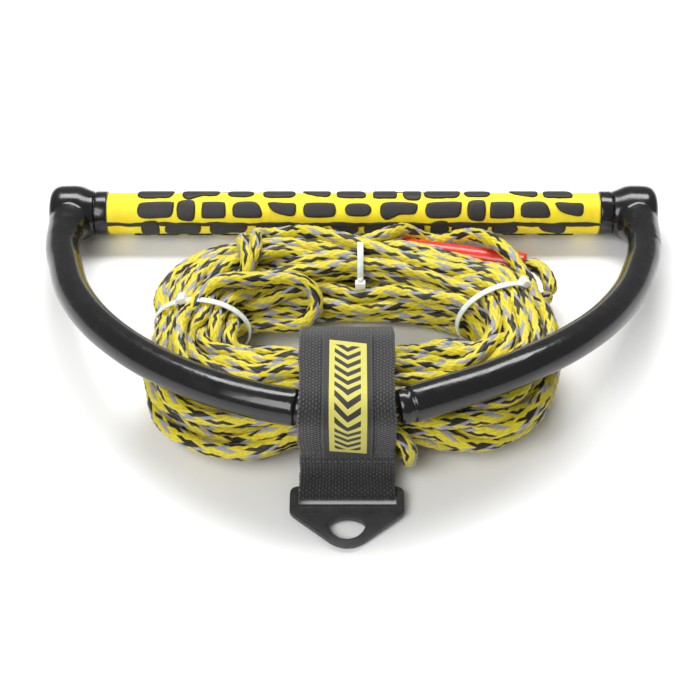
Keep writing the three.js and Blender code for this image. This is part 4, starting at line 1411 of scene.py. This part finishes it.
def plate(name, loops, thickness, bevel):
    curve = bpy.data.curves.new(name, "CURVE")
    curve.dimensions, curve.fill_mode = "2D", "BOTH"
    curve.extrude = (thickness / 2 - bevel) * MM
    curve.bevel_depth, curve.bevel_resolution, curve.offset = bevel * MM, 2, -bevel * MM
    for loop in loops:
        strip = curve.splines.new("POLY")
        strip.points.add(len(loop) - 1)
        for point, (x, y) in zip(strip.points, loop):
            point.co = (x * MM, y * MM, 0, 1)
        strip.use_cyclic_u = True
    shape = bpy.data.objects.new(name, curve)
    scene.collection.objects.link(shape)
    bpy.context.view_layer.update()
    mesh = bpy.data.meshes.new_from_object(shape.evaluated_get(bpy.context.evaluated_depsgraph_get()))
    bpy.data.objects.remove(shape)
    made = bpy.data.objects.new(name, mesh)
    scene.collection.objects.link(made)
    return fix_normals(made)


tab = plate("tab_plate", [outline, slot_hole, lens_hole], 3.0, 0.55)
rib = plate("tab_rib", [[(-25.6, -9.75), (25.6, -9.75), (25.6, -12.2), (-25.6, -12.2)]], 1.6, 0.4)
for v in rib.data.vertices:
    v.co.z += 1.15 * MM
lower = [(-24.2, -14.6), (24.2, -14.6), (26.4, -16.0), (8.4, -30.6), (4.6, -33.6), (0, -34.6),
         (-4.6, -33.6), (-8.4, -30.6), (-26.4, -16.0)]
lens_rim = [(x * 1.14, -24.4 + (y + 24.4) * 1.22) for x, y in lens_hole]
panel_plate = plate("tab_panel", [lower, lens_rim], 1.2, 0.3)
for v in panel_plate.data.vertices:
    v.co.z += 1.15 * MM
tab = joined(tab, rib, panel_plate)
tilt = math.radians(5.4)
for v in tab.data.vertices:
    y, z = v.co.y, v.co.z
    v.co = Vector((v.co.x + STRAP_X * MM, y * math.cos(tilt) - z * math.sin(tilt) - 98 * MM,
                   y * math.sin(tilt) + z * math.cos(tilt) + 5.3 * MM))
for polygon in tab.data.polygons:
    polygon.use_smooth = False
mount(tab, "hang_tab", "tab_plastic", TAB_PLASTIC, "hang_tab")

# %% [markdown]
# ## Hidden hard parts
# The bar's tube and the two plugs are inside the grip and the caps. Their CAD shapes are right,
# so they stay, with brushed aluminium and a plain moulded finish.
# %% Finishes for the CAD parts that stay
ALUMINIUM, tree, shader = finish("aluminium", (0.72, 0.73, 0.75), 0.3, Metallic=1.0)
brushed = noise(tree, place_of(tree, (0.1, 3, 3)), 1.0, 4)
tree.links.new(spread(tree, brushed, 0.3, 0.7, 0.24, 0.42), shader.inputs["Roughness"])
bump(tree, shader, brushed, 0.0001, 0.3)
PLUG, tree, shader = finish("plug_plastic", (0.05, 0.05, 0.05), 0.5)
speckle = noise(tree, place_of(tree), 1.5, 3)
tree.links.new(spread(tree, speckle, 0.3, 0.7, 0.42, 0.58), shader.inputs["Roughness"])
tree.links.new(blend_colors(tree, speckle, (0.045, 0.045, 0.045), (0.06, 0.06, 0.06)),
               shader.inputs["Base Color"])
for name, material in (("bar_tube", ALUMINIUM), ("left_tube_plug", PLUG), ("right_tube_plug", PLUG)):
    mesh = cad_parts[name].data
    mesh.materials.clear()
    mesh.materials.append(material)

# %% [markdown]
# ## Floor and light
# A plain pale floor and a bright even room, with one broad soft panel above the back and a weak
# one in front. The back panel is what draws the long highlight on the glossy arms. The view
# transform is Standard, so that bright yellow stays bright and a white floor stays white.
# %% Floor and light
scene.view_settings.view_transform = "Standard"
bpy.ops.mesh.primitive_plane_add(size=12)
floor = bpy.context.object
floor.name = "floor"
floor.location.z = -0.0003
FLOOR, tree, shader = finish("floor_pale", (0.92, 0.92, 0.92), 0.6)
tree.links.new(spread(tree, noise(tree, place_of(tree), 0.01, 2), 0.3, 0.7, 0.55, 0.65),
               shader.inputs["Roughness"])
floor.data.materials.append(FLOOR)
world = bpy.data.worlds.new("Studio")
scene.world = world
world.use_nodes = True
world.node_tree.nodes["Background"].inputs["Color"].default_value = (1, 1, 1, 1)
world.node_tree.nodes["Background"].inputs["Strength"].default_value = 0.28


def soft_panel(name, place, size, power):
    light = bpy.data.lights.new(name, "AREA")
    light.shape = "RECTANGLE"
    light.size, light.size_y = size
    light.energy = power
    panel = bpy.data.objects.new(name, light)
    scene.collection.objects.link(panel)
    panel.location = place
    panel.rotation_euler = (Vector((0, 0, 0.02)) - Vector(place)).to_track_quat("-Z", "Y").to_euler()


soft_panel("Back panel", (0.05, 0.65, 1.15), (1.3, 0.45), 20)
soft_panel("Front panel", (-0.6, -0.9, 1.1), (0.9, 0.9), 16)
